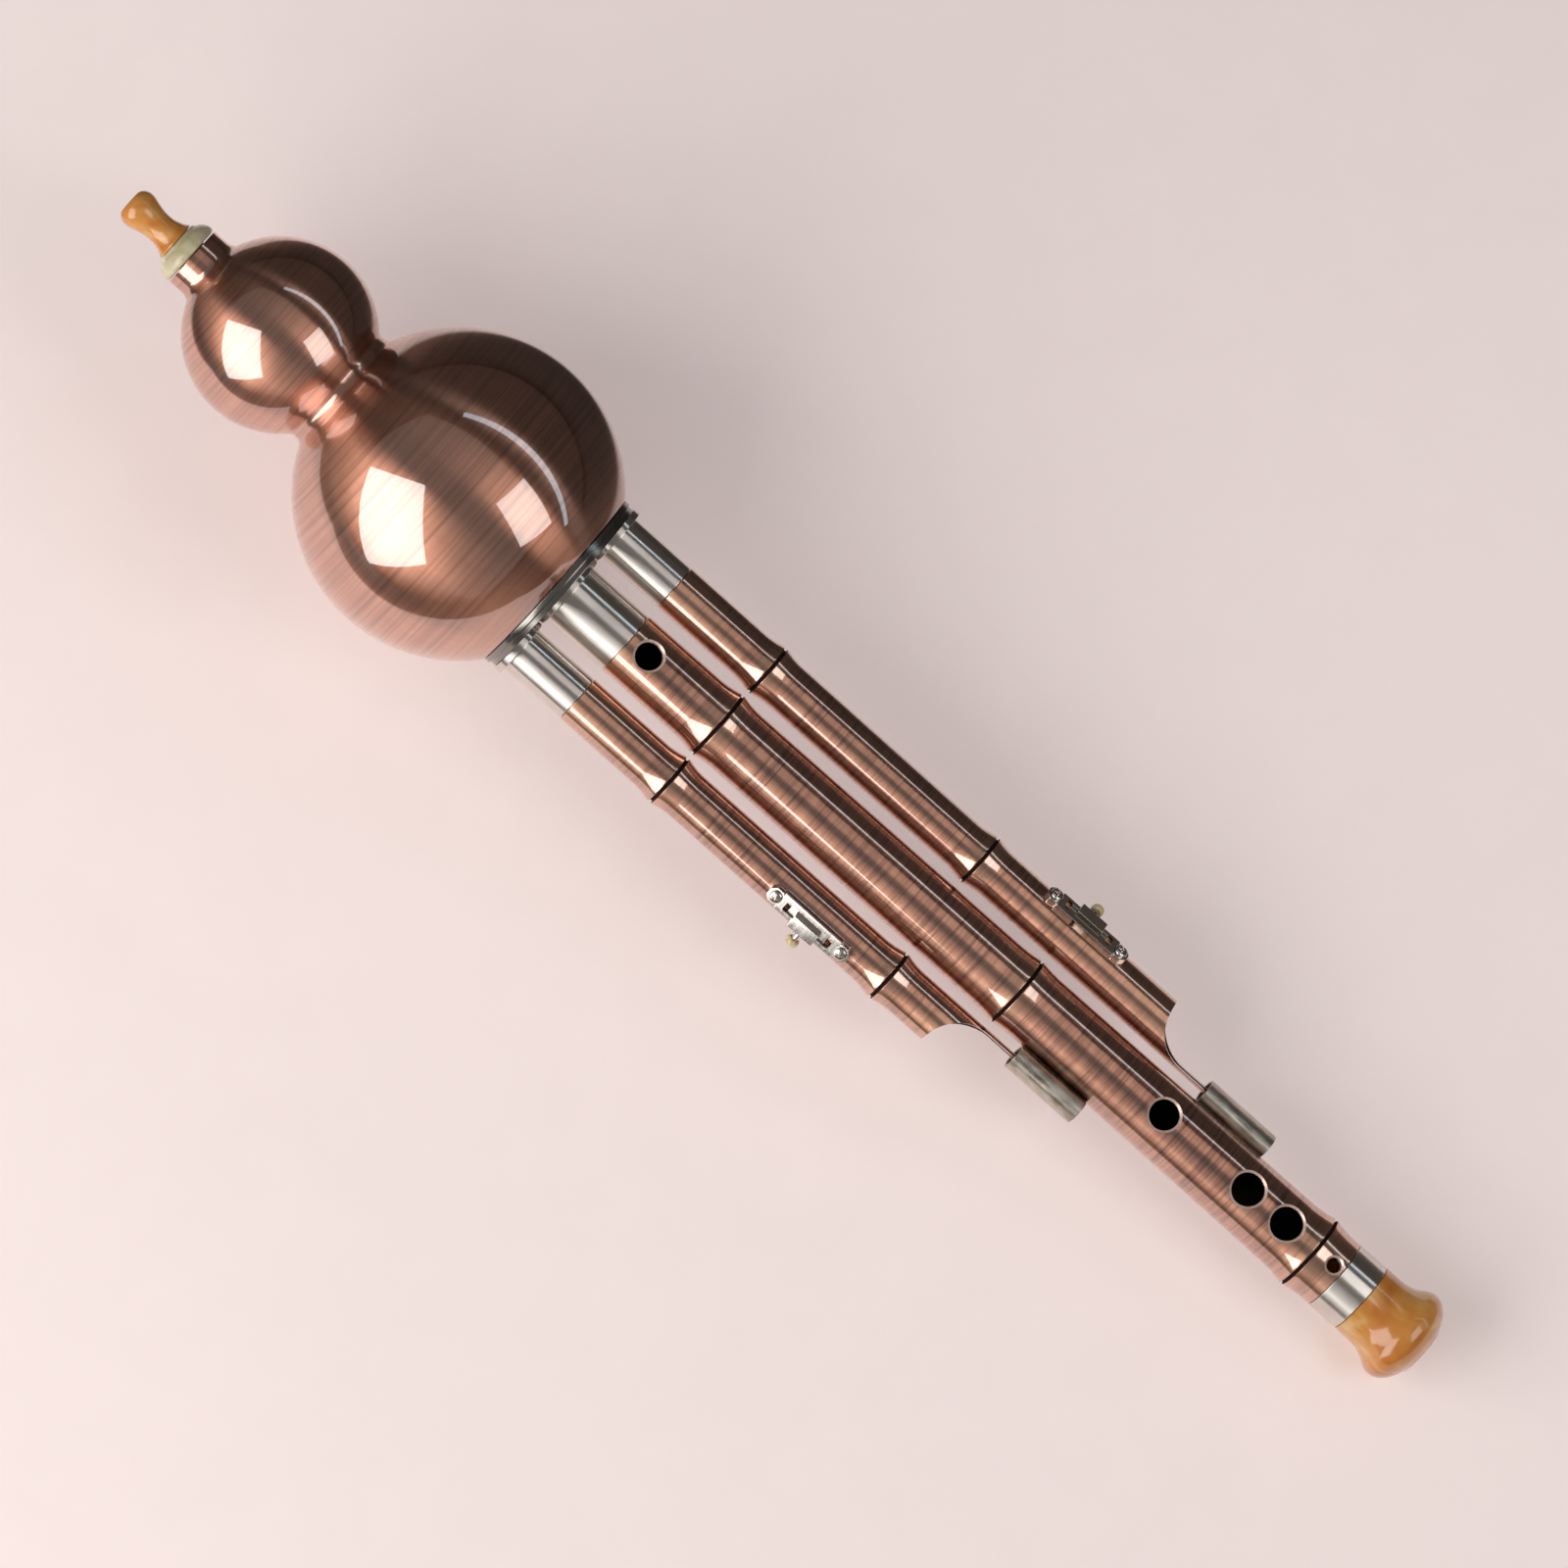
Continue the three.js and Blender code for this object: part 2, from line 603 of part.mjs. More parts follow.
const plateTopZ = droneTube.radius + lockPlate.height;
const roofZ = plateTopZ - lockPlate.thickness;
const padZ = droneTube.radius + fineGap;
const runnerZ = padZ + lockPad.thickness + fineGap;
const capZ = plateTopZ + fineGap;
const lipY = lockPlate.halfWidth + lockBlock.lipGap;
const blockY = lipY + lockBlock.lip;
const stemZ = droneTube.radius + thumbStem.height;
const channelHalf = lockRunner.length / 2 + lockRunner.travel + seatGap;
const channelY = lockPlate.halfWidth - lockPlate.skirt;

function lockPlateBody(drone) {
  const { halfWidth, skirt, screwSpacing } = lockPlate;
  const half = screwSpacing / 2;
  const earRadius = lockEar.halfWidth / Math.cos(Math.PI / lockEar.sides);
  const blank = join(
    box(-channelHalf - skirt, channelHalf + skirt, -halfWidth, halfWidth, droneBore, plateTopZ),
    rod(-half, earRadius, droneBore, plateTopZ, lockEar.sides),
    rod(half, earRadius, droneBore, plateTopZ, lockEar.sides),
  );
  const windowHalf = lockBlock.length / 2 + lockRunner.travel + lockWindow.slack;
  const aboveZ = plateTopZ + overrun;
  const endX = pipeX + drone.length + tongueReach;
  const pipe = turned([[pipeX, 0], ...droneOutline(drone, fineGap), [endX, 0]], droneSides);
  const seat = pipe.rotateX(THREE.MathUtils.degToRad(lockTurn)).translate(-lockX(drone), 0, 0);
  return cut(
    blank,
    seat,
    box(-channelHalf, channelHalf, -channelY, channelY, 0, roofZ),
    box(-windowHalf, windowHalf, -lockWindow.innerEdge, lockWindow.outerEdge, 0, aboveZ),
    rod(-half, screw.shankRadius + fineGap, 0, aboveZ, screwSides),
    rod(half, screw.shankRadius + fineGap, 0, aboveZ, screwSides),
  );
}

function lockSlideBody() {
  const { length, width, thickness, bevel } = lockBlock;
  const half = lockRunner.length / 2;
  const runnerY = channelY - lockRunner.sideGap;
  const runnerBlank = box(-half, half, -runnerY, runnerY, droneBore, roofZ - fineGap);
  const runner = cut(runnerBlank, bar(-lockRunner.length, lockRunner.length, runnerZ, droneSides));
  const startX = -length / 2;
  const innerY = blockY - width;
  const bridgeY = lockWindow.outerEdge - seatGap;
  const bridge = box(startX, -startX, innerY, bridgeY, roofZ - fineGap - weld, capZ + weld);
  const topZ = capZ + thickness;
  const cap = extruded(shapeOf([
    [innerY, capZ], [lipY, capZ], [lipY, stemZ - thumbStem.radius], [blockY, stemZ - thumbStem.radius],
    [blockY, topZ - bevel], [blockY - bevel, topZ], [innerY + bevel, topZ], [innerY, topZ - bevel],
  ]), startX, length);
  const stemEndY = blockY + thumbStem.exposed + thumbStem.seated;
  const stem = rod(0, thumbStem.radius, lipY + weld, stemEndY, screwSides);
  return join(runner, bridge, cap, stem.rotateX(-Math.PI / 2).translate(0, 0, stemZ));
}

function lockPadBody() {
  const half = lockPad.length / 2;
  const padY = lockPad.width / 2;
  const disc = bar(-half, half, padZ + lockPad.thickness, droneSides);
  const under = bar(-lockPad.length, lockPad.length, padZ, droneSides);
  const reach = 2 * droneTube.radius;
  return cut(
    disc,
    under,
    box(-lockPad.length, lockPad.length, padY, reach, -reach, reach),
    box(-lockPad.length, lockPad.length, -reach, -padY, -reach, reach),
    box(-lockPad.length, lockPad.length, -reach, reach, -reach, 0),
  );
}

function thumbButtonBody() {
  const { radius, length } = thumbButton;
  const holeRadius = thumbStem.radius + fineGap;
  const holeDepth = thumbStem.seated + fineGap;
  const outside = thumbOutlineShares.map(([along, out]) => [along * length, out * radius]);
  const outline = [[holeDepth, 0], [holeDepth, holeRadius], [0, holeRadius], ...outside, [length, 0]];
  return upright(outline, smallSides)
    .rotateX(-Math.PI / 2)
    .translate(0, blockY + thumbStem.exposed, stemZ);
}

function screwBody(x) {
  const { headRadius, headHeight, shankRadius, tip, slotWidth, slotLength } = screw;
  const headZ = plateTopZ + fineGap;
  const crown = screwCrownShares.map(([up, out]) => [headZ + up * headHeight, out * headRadius]);
  const tipZ = droneBore - tip;
  const body = upright([
    [tipZ, 0], [tipZ, shankRadius], [headZ, shankRadius], ...crown, [headZ + headHeight, 0],
  ], screwSides);
  const slotZ = headZ + headHeight * (1 - slotDepthShare);
  const aboveZ = headZ + headHeight + overrun;
  const along = box(-slotLength / 2, slotLength / 2, -slotWidth / 2, slotWidth / 2, slotZ, aboveZ);
  const across = box(-slotWidth / 2, slotWidth / 2, -slotLength / 2, slotLength / 2, slotZ, aboveZ);
  return cut(body, along, across).translate(x, 0, 0);
}

function lockGroup(drone) {
  const half = lockPlate.screwSpacing / 2;
  const group = groupOf(
    piece(`${drone.name}_lock_plate`, lockPlateBody(drone), chrome),
    piece(`${drone.name}_lock_screw_front`, screwBody(-half), chrome),
    piece(`${drone.name}_lock_screw_rear`, screwBody(half), chrome),
    piece(`${drone.name}_lock_slide`, lockSlideBody(), chrome),
    piece(`${drone.name}_lock_pad`, lockPadBody(), felt),
    piece(`${drone.name}_lock_button`, thumbButtonBody(), amber),
  );
  group.position.x = lockX(drone);
  group.rotation.x = -THREE.MathUtils.degToRad(lockTurn);
  return group;
}

// The whole instrument

function mouthpieceGroup() {
  return groupOf(
    piece('mouthpiece', mouthpieceBody(), amber),
    piece('mouthpiece_ring', hornRingBody(), horn),
    piece('mouthpiece_cork', mouthCorkBody(), corkBrown),
  );
}

function gourdGroup() {
  return groupOf(
    piece('gourd_upper_shell', upperShellBody(), copper),
    piece('gourd_lower_shell', lowerShellBody(), copper),
    piece('flange_plate', flangeBody(), chrome),
    ...voices.map(voicePieces),
  );
}

function mainPipeGroup() {
  return groupOf(
    piece('main_pipe', mainPipeBody(), copper),
    piece('main_tenon', mainTenonBody(), brass),
    piece('main_tenon_cork', tenonCorkBody(mainBore, mainSides), corkBrown),
    piece('tail_collar', tailCollarBody(), chrome),
    piece('bell', bellBody(), amber),
    ...[longDrone, shortDrone].map((drone) =>
      placeDrone(drone, piece(`${drone.name}_clip`, clipBody(drone), satinSilver))),
  );
}

function droneGroup(drone) {
  return placeDrone(
    drone,
    piece(`${drone.name}_drone_pipe`, dronePipeBody(drone), copper),
    piece(`${drone.name}_tenon`, tenonBody(droneBore, tenon.droneWall, tenon.inDrone, droneSides), brass),
    piece(`${drone.name}_tenon_cork`, tenonCorkBody(droneBore, droneSides), corkBrown),
    lockGroup(drone),
  );
}

// Turns the instrument until its large ball and its bell lie on the same surface, with the origin under
// the middle of it.
function laidDown(instrument) {
  const ballRadius = largeBall.radius * Math.cos(Math.PI / gourdSides);
  const bellRadius = bell.radius * Math.cos(Math.PI / mainSides);
  const [ringShare] = bellOutlineShares.find(([, out]) => out === 1);
  const reach = bellX + ringShare * bell.length - largeBallX;
  instrument.rotation.y = Math.asin((ballRadius - bellRadius) / reach);
  const bounds = new THREE.Box3().setFromObject(instrument, true);
  const centre = bounds.getCenter(new THREE.Vector3());
  instrument.position.set(-centre.x, -centre.y, -bounds.min.z);
  return instrument;
}

const hulusi = laidDown(groupOf(
  mouthpieceGroup(),
  gourdGroup(),
  mainPipeGroup(),
  droneGroup(longDrone),
  droneGroup(shortDrone),
));

export default groupOf(hulusi);
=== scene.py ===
import json
import math

import bpy
from mathutils import Matrix, Vector


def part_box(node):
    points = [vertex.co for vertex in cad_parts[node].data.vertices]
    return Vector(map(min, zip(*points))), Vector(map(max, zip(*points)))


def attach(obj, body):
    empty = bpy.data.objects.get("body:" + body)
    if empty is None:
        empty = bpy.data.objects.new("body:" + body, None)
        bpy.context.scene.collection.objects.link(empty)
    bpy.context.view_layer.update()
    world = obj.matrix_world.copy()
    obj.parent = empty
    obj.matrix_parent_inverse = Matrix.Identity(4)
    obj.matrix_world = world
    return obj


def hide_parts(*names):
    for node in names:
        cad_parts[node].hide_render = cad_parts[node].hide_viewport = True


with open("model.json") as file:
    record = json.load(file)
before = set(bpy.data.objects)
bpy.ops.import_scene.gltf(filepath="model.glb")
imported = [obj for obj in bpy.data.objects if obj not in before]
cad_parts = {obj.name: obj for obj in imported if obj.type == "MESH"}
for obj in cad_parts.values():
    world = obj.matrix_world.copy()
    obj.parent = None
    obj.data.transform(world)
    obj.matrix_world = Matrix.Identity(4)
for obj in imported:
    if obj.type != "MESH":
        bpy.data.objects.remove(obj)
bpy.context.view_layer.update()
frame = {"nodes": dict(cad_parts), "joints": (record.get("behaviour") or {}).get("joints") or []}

# A hulusi in brushed red copper, lying on its large ball and its bell.
# Everything is drawn along the axis of the middle pipe: x runs from the tip of the mouthpiece to the
# bell, y goes across to the long drone and z comes out of the back. layDown then puts it where the
# frame has it.

mm = 0.001
closeBy = 0.001 * mm
inset = 0.02 * mm  # keeps the round ball and bell inside the box of the CAD's flat-sided ones
scene = bpy.context.scene
scene.view_settings.view_transform = "Standard"


def metres(**sizes):
    return {name: size * mm for name, size in sizes.items()}


# Where the instrument lies

def findPipeFrame():
    tuning = next(j for j in frame["joints"] if j["name"] == "middle_pipe_tuning")
    axis = Vector(tuning["axis"]).normalized()
    low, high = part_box("tail_collar")
    onAxis = (low + high) / 2
    tip = min((v.co - onAxis).dot(axis) for v in frame["nodes"]["mouthpiece"].data.vertices)
    slope = math.atan2(-axis.z, axis.x)
    return Matrix.Translation(onAxis + axis * tip) @ Matrix.Rotation(slope, 4, "Y"), slope


pipeFrame, pipeSlope = findPipeFrame()
pipeAxis = pipeFrame.to_3x3() @ Vector((1, 0, 0))


# Start, end and radius of a CAD node about its own axis
def stations(node, acrossY=0.0):
    intoPipe = pipeFrame.inverted()
    spots = [intoPipe @ v.co for v in frame["nodes"][node].data.vertices]
    radius = max(math.hypot(spot.y - acrossY, spot.z) for spot in spots)
    return min(spot.x for spot in spots), max(spot.x for spot in spots), radius


def halfWidth(node):
    low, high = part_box(node)
    return (high.y - low.y) / 2


droneSpacing = (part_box("long_collar")[0].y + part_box("long_collar")[1].y) / 2

# Camera, at the angle of the photograph

cameraView = dict(aimAlong=213.9 * mm, distance=3.0, lens=281.5, lean=math.radians(10),
                  tip=math.radians(4), slant=math.radians(41.7), clipEnd=20)


# The picture's right and up, and the way towards the camera
def viewAxes():
    lean = Matrix.Rotation(cameraView["lean"], 3, "X") @ Matrix.Rotation(-cameraView["tip"], 3, "Y")
    turned = pipeFrame.to_3x3() @ lean
    across, along = math.sin(cameraView["slant"]), math.cos(cameraView["slant"])
    return [turned @ Vector(way) for way in ((along, across, 0), (-across, along, 0), (0, 0, 1))]


rightWay, upWay, backWay = viewAxes()
aimPoint = pipeFrame @ Vector((cameraView["aimAlong"], 0, 0))


# A direction given as parts of right, up and towards the camera
def inView(parts):
    return (rightWay * parts[0] + upWay * parts[1] + backWay * parts[2]).normalized()


# A matrix that looks at the aim point from one side
def lookingFrom(towards, distance, topWay):
    back = inView(towards)
    side = topWay.cross(back).normalized()
    top = back.cross(side)
    turn = Matrix((side, top, back)).transposed().to_4x4()
    return Matrix.Translation(aimPoint + back * distance) @ turn


def placeCamera():
    bpy.ops.object.camera_add()
    camera = bpy.context.object
    camera.name = "photoCamera"
    camera.data.lens = cameraView["lens"]
    camera.data.clip_end = cameraView["clipEnd"]
    camera.matrix_world = lookingFrom((0, 0, 1), cameraView["distance"], upWay)
    scene.camera = camera


placeCamera()

# Studio: a pale floor, two soft boxes, a narrow cool strip and a dim room

studio = dict(floorSize=6.0, floorColour=(0.91, 0.79, 0.77), mottle=0.965, glowStrength=0.24,
              roomColour=(0.065, 0.054, 0.048), paleRoom=(0.78, 0.70, 0.68), sheetX=(-0.24, 0.45),
              sheetY=(-0.19, 0.06), sheetFade=0.012, paintedDarkReflection=(0.06, 0.05, 0.045))
lamps = [
    dict(name="softboxLeft", towards=(-0.75, -0.24, 0.615), top=(-0.036, 0.936, 0.355), distance=1.05,
         size=(0.86, 1.12), power=9.6, colour=(1, 0.985, 0.97)),
    dict(name="softboxRight", towards=(0.705, -0.17, 0.69), top=(-0.366, 0.736, 0.57), distance=1.05,
         size=(0.52, 0.72), power=2.6, colour=(1, 0.985, 0.97)),
    dict(name="coolStrip", towards=(0.74, 0.44, 0.51), top=(0.233, 0.544, -0.807), distance=1.05,
         size=(2.4, 0.09), power=1.15, colour=(0.72, 0.87, 1)),
    dict(name="paleCeiling", towards=(-0.2, -0.22, 0.955), top=(0.62, 0.69, 0.375), distance=1.4,
         size=(6.0, 3.9), power=10, colour=(1, 0.98, 0.96)),
]


def addLamp(lamp):
    bpy.ops.object.light_add(type="AREA")
    light = bpy.context.object
    light.name = lamp["name"]
    light.data.shape = "RECTANGLE"
    light.data.size, light.data.size_y = lamp["size"]
    light.data.energy = lamp["power"]
    light.data.color = lamp["colour"]
    light.visible_camera = False
    light.matrix_world = lookingFrom(lamp["towards"], lamp["distance"], inView(lamp["top"]))


for lamp in lamps:
    addLamp(lamp)

# Shader nodes

def addNode(tree, kind, inputs=None, **settings):
    made = tree.nodes.new("ShaderNode" + kind)
    for name, value in settings.items():
        setattr(made, name, value)
    for socket, value in (inputs or {}).items():
        if isinstance(value, bpy.types.NodeSocket):
            tree.links.new(value, made.inputs[socket])
        else:
            made.inputs[socket].default_value = value
    return made


def newMaterial(name, **sockets):
    material = bpy.data.materials.new(name)
    material.use_nodes = True
    shader = material.node_tree.nodes["Principled BSDF"]
    for socket, value in sockets.items():
        shader.inputs[socket.replace("_", " ")].default_value = value
    return material, shader


# Object coordinates turned into a pipe's own, about a centre line at acrossY
def pipeCoordinates(tree, acrossY=0.0):
    centre = pipeFrame @ Vector((0, acrossY, 0))
    objectPlace = addNode(tree, "TexCoord").outputs["Object"]
    turned = addNode(tree, "Mapping", {"Vector": objectPlace, "Location": centre,
                                       "Rotation": (0, pipeSlope, 0)}, vector_type="TEXTURE")
    return turned.outputs["Vector"]


# The id_data of a socket or node is its node tree
def stretchedNoise(place, scale, detail=4.0, roughness=0.55, distortion=0.0):
    spread = addNode(place.id_data, "Mapping", {"Vector": place, "Scale": scale}, vector_type="POINT")
    return addNode(place.id_data, "TexNoise", {
        "Vector": spread.outputs["Vector"], "Scale": 1.0, "Detail": detail, "Roughness": roughness,
        "Distortion": distortion}).outputs["Fac"]


def ramp(factor, stops):
    made = addNode(factor.id_data, "ValToRGB", {"Fac": factor})
    elements = made.color_ramp.elements
    while len(elements) < len(stops):
        elements.new(0.5)
    for element, (position, colour) in zip(elements, stops):
        element.position = position
        element.color = (*colour, 1)
    return made.outputs["Color"]


def mixed(factor, first, second):
    return addNode(factor.id_data, "MixRGB", {"Fac": factor, "Color1": first,
                                              "Color2": second}).outputs["Color"]


def spreadTo(value, low, high, fromLow=0.3, fromHigh=0.7):
    made = addNode(value.id_data, "MapRange", {"Value": value, "From Min": fromLow,
                                               "From Max": fromHigh, "To Min": low, "To Max": high})
    return made.outputs["Result"]


def joinTo(output, shader, socket):
    output.id_data.links.new(output, shader.inputs[socket])


def newFinish(name, acrossY=0.0, **sockets):
    material, shader = newMaterial(name, **sockets)
    return material, shader, pipeCoordinates(material.node_tree, acrossY)


# The colour of a finish, and a roughness that follows a noise
def dress(shader, colour, noise=None, low=0.0, high=1.0):
    joinTo(colour, shader, "Base Color")
    if noise is not None:
        joinTo(spreadTo(noise, low, high), shader, "Roughness")


# Lines that run round a pipe draw each reflection out along it
def brushAlong(shader):
    tangent = addNode(shader.id_data, "CombineXYZ", dict(zip("XYZ", pipeAxis)))
    joinTo(tangent.outputs["Vector"], shader, "Tangent")


def bumpTo(shader, height, strength, distance):
    bump = addNode(shader.id_data, "Bump", {"Height": height, "Strength": strength,
                                            "Distance": distance})
    joinTo(bump.outputs["Normal"], shader, "Normal")


# Floor. It is pale to the camera everywhere. In the metal's reflections only, it is painted near
# black outside a sheet round the instrument: a painted dark reflection, so the metal shows a sheet
# that ends behind the instrument.

def calculate(operation, first, second):
    return addNode(first.id_data, "Math", {0: first, 1: second}, operation=operation).outputs["Value"]


# 0 between two places along an axis and 1 outside them
def awayFrom(place, axis, low, high):
    along = addNode(place.id_data, "SeparateXYZ", {"Vector": place}).outputs[axis]
    middle, half = (low + high) / 2, (high - low) / 2
    off = calculate("ABSOLUTE", calculate("SUBTRACT", along, middle), 0)
    return spreadTo(off, 0, 1, half, half + studio["sheetFade"])


def makeFloor():
    bpy.ops.mesh.primitive_plane_add(size=studio["floorSize"])
    floor = bpy.context.object
    floor.name = "floor"
    material, shader = newMaterial("paleFloor", Roughness=0.75)
    tree = material.node_tree
    place = addNode(tree, "TexCoord").outputs["Object"]
    mottle = stretchedNoise(place, (55, 55, 55), detail=6, roughness=0.7)
    shades = ramp(mottle, [(0.3, [studio["mottle"] * part for part in studio["floorColour"]]),
                           (0.7, studio["floorColour"])])
    bumpTo(shader, mottle, 0.25, 0.4 * mm)
    rays = addNode(tree, "LightPath").outputs
    offSheet = calculate("MAXIMUM", awayFrom(place, "X", *studio["sheetX"]),
                         awayFrom(place, "Y", *studio["sheetY"]))
    # Painted dark reflection: for glossy rays off the sheet, the floor turns near black and loses its
    # glow
    dark = calculate("MULTIPLY", offSheet, rays["Is Glossy Ray"])
    joinTo(mixed(dark, shades, (*studio["paintedDarkReflection"], 1)), shader, "Base Color")
    mirrored = calculate("MAXIMUM", rays["Is Glossy Ray"], rays["Is Transmission Ray"])
    seen = calculate("SUBTRACT", calculate("MAXIMUM", rays["Is Camera Ray"], mirrored), dark)
    strength = calculate("MULTIPLY", seen, studio["glowStrength"])
    shader.inputs["Emission Color"].default_value = (*studio["floorColour"], 1)
    joinTo(strength, shader, "Emission Strength")
    floor.data.materials.append(material)


# A dim room, with a pale wall behind for the camera
def makeRoom():
    world = bpy.data.worlds.new("room")
    world.use_nodes = True
    tree = world.node_tree
    seen = addNode(tree, "LightPath").outputs["Is Camera Ray"]
    colour = mixed(seen, (*studio["roomColour"], 1), (*studio["paleRoom"], 1))
    joinTo(colour, tree.nodes["Background"], "Color")
    scene.world = world


makeFloor()
makeRoom()
print("studio ready")

# Finishes

# The bright copper of rubbed places near ends and nodes also serves there as a painted highlight
copper = dict(shades=[(0.11, 0.044, 0.029), (0.40, 0.175, 0.112), (0.62, 0.31, 0.205)],
              rubbedAndSheen=(0.84, 0.47, 0.29), lengthways=520)


# Brushed copper under clear lacquer: fine dark lines run round the piece, and fainter ones along it
def copperFinish(name, acrossY=0.0, lines=1000, streak=30, contrast=0.85, roughness=(0.33, 0.27),
                 light=1.2):
    material, shader, place = newFinish(name, acrossY, Metallic=1, Anisotropic=1, Coat_Weight=1,
                                        Coat_Roughness=0.02, Coat_IOR=2.5)
    shader.inputs["Specular Tint"].default_value = (1, 0.94, 0.9, 1)
    brush = stretchedNoise(place, (lines, streak, streak), detail=3, roughness=0.7)
    bands = stretchedNoise(place, (260, 14, 14), detail=3, roughness=0.6)
    along = stretchedNoise(place, (22, copper["lengthways"], copper["lengthways"]), detail=2)
    clouds = stretchedNoise(place, (45, 45, 45), detail=3)
    marks = calculate("MULTIPLY", brush, spreadTo(bands, 0.88, 1.1))
    middle = copper["shades"][1]
    dark, middle, bright = [[light * (m + (part - m) * contrast) for part, m in zip(shade, middle)]
                            for shade in copper["shades"]]
    colour = ramp(marks, [(0.33, dark), (0.45, middle), (0.62, bright)])
    crossed = mixed(spreadTo(along, 0.22, 0), colour, (*dark, 1))
    patina = mixed(spreadTo(clouds, 0.2, 0), crossed, (*dark, 1))
    # Brighter copper near ends, nodes and the waist: rubbed wear together with a painted highlight
    wearAndSheen = addNode(place.id_data, "Attribute", attribute_name="wearAndSheen").outputs["Fac"]
    dress(shader, mixed(wearAndSheen, patina, (*copper["rubbedAndSheen"], 1)), brush, *roughness)
    brushAlong(shader)
    return material


# A finish whose colour and roughness follow one noise
def plainFinish(name, noise, stops, roughness, bump=None, **sockets):
    material, shader, place = newFinish(name, **sockets)
    grain = stretchedNoise(place, **noise)
    dress(shader, ramp(grain, stops), grain, *roughness)
    if bump:
        bumpTo(shader, grain, *bump)
    return material


# Chrome, with very fine lines round the piece where it is turned
def chromeFinish(name="chromePlate", turned=1.0, roughness=(0.275, 0.29), light=1.0):
    material, shader, place = newFinish(name, Metallic=1, Anisotropic=turned)
    polish = stretchedNoise(place, (1500, 60, 60), detail=3)
    smear = stretchedNoise(place, (70, 90, 90), detail=4)
    shades = [[light * part for part in shade] for shade in ((0.66, 0.61, 0.56), (0.83, 0.78, 0.73))]
    dress(shader, ramp(smear, list(zip((0.3, 0.65), shades))), polish, *roughness)
    if turned:
        brushAlong(shader)
    return material


def satinFinish():
    material, shader, place = newFinish("satinSilver", Metallic=1, Anisotropic=0.4)
    grain = stretchedNoise(place, (260, 1600, 1600), detail=4, roughness=0.65)
    tarnish = stretchedNoise(place, (190, 240, 240), detail=4)
    colour = ramp(tarnish, [(0.3, (0.30, 0.26, 0.21)), (0.5, (0.60, 0.55, 0.47)),
                            (0.72, (0.80, 0.76, 0.69))])
    scratched = mixed(spreadTo(grain, 0.3, 0), colour, (0.2, 0.18, 0.15, 1))
    dress(shader, scratched, grain, 0.3, 0.46)
    bumpTo(shader, grain, 0.2, 0.03 * mm)
    return material


# Honey-coloured resin with cream clouds, polished
amberShades = [(0.52, 0.155, 0.02), (0.66, 0.25, 0.04), (0.74, 0.35, 0.08), (0.82, 0.53, 0.23)]
paleShades = [(0.66, 0.45, 0.19), (0.74, 0.58, 0.33), (0.80, 0.70, 0.48), (0.84, 0.77, 0.60)]


def amberFinish(name, cloudSize=60, shades=amberShades):
    material, shader, place = newFinish(name, Coat_Weight=1, Coat_Roughness=0.03, Roughness=0.28,
                                        Subsurface_Weight=0.35, Subsurface_Scale=2.5 * mm)
    shader.inputs["Subsurface Radius"].default_value = (1.0, 0.45, 0.15)
    swirl = stretchedNoise(place, (cloudSize, cloudSize * 1.3, cloudSize * 1.3), detail=2,
                           roughness=0.45, distortion=1.6)
    dress(shader, ramp(swirl, list(zip((0.3, 0.44, 0.56, 0.7), shades))))
    return material


def corkFinish():
    material, shader, place = newFinish("cork")
    grain = stretchedNoise(place, (900, 900, 900), detail=5, roughness=0.7)
    pores = addNode(place.id_data, "TexVoronoi", {"Vector": place, "Scale": 1100}).outputs["Distance"]
    bark = ramp(grain, [(0.3, (0.38, 0.22, 0.11)), (0.7, (0.60, 0.39, 0.22))])
    pitted = mixed(spreadTo(pores, 0.55, 0, 0, 0.35), bark, (0.16, 0.08, 0.04, 1))
    dress(shader, pitted, grain, 0.95, 0.8)
    bumpTo(shader, pores, 0.5, 0.1 * mm)
    return material


def brassFinish(name, bright, dark):
    material, shader, place = newFinish(name, Metallic=1, Anisotropic=0.4)
    turned = stretchedNoise(place, (2200, 60, 60), detail=3)
    tarnish = stretchedNoise(place, (130, 160, 160), detail=4)
    colour = mixed(spreadTo(tarnish, 0.6, 0), (*bright, 1), (*dark, 1))
    dress(shader, colour, turned, 0.2, 0.38)
    bumpTo(shader, turned, 0.12, 0.02 * mm)
    return material


# Painted light: the balls' copper is the pipes' copper made brighter (1.55 against 1.2), standing in
# for the light the balls catch
gourdCopper = copperFinish("gourdCopper", lines=850, streak=9, contrast=0.42, roughness=(0.31, 0.28),
                           light=1.55)
mainCopper = copperFinish("mainCopper")
longCopper = copperFinish("longDroneCopper", droneSpacing)
shortCopper = copperFinish("shortDroneCopper", -droneSpacing)
# Copper without lacquer for the rims of holes and cut ends, pale and partly diffuse so that it shows
# bright all round: bare copper with a painted highlight
rim = plainFinish("copperRim", dict(scale=(1800, 1800, 400), detail=3),
                  [(0.3, (0.74, 0.52, 0.43)), (0.7, (0.95, 0.74, 0.64))], (0.28, 0.42),
                  Metallic=0.4, Coat_Weight=0.6, Coat_Roughness=0.05)
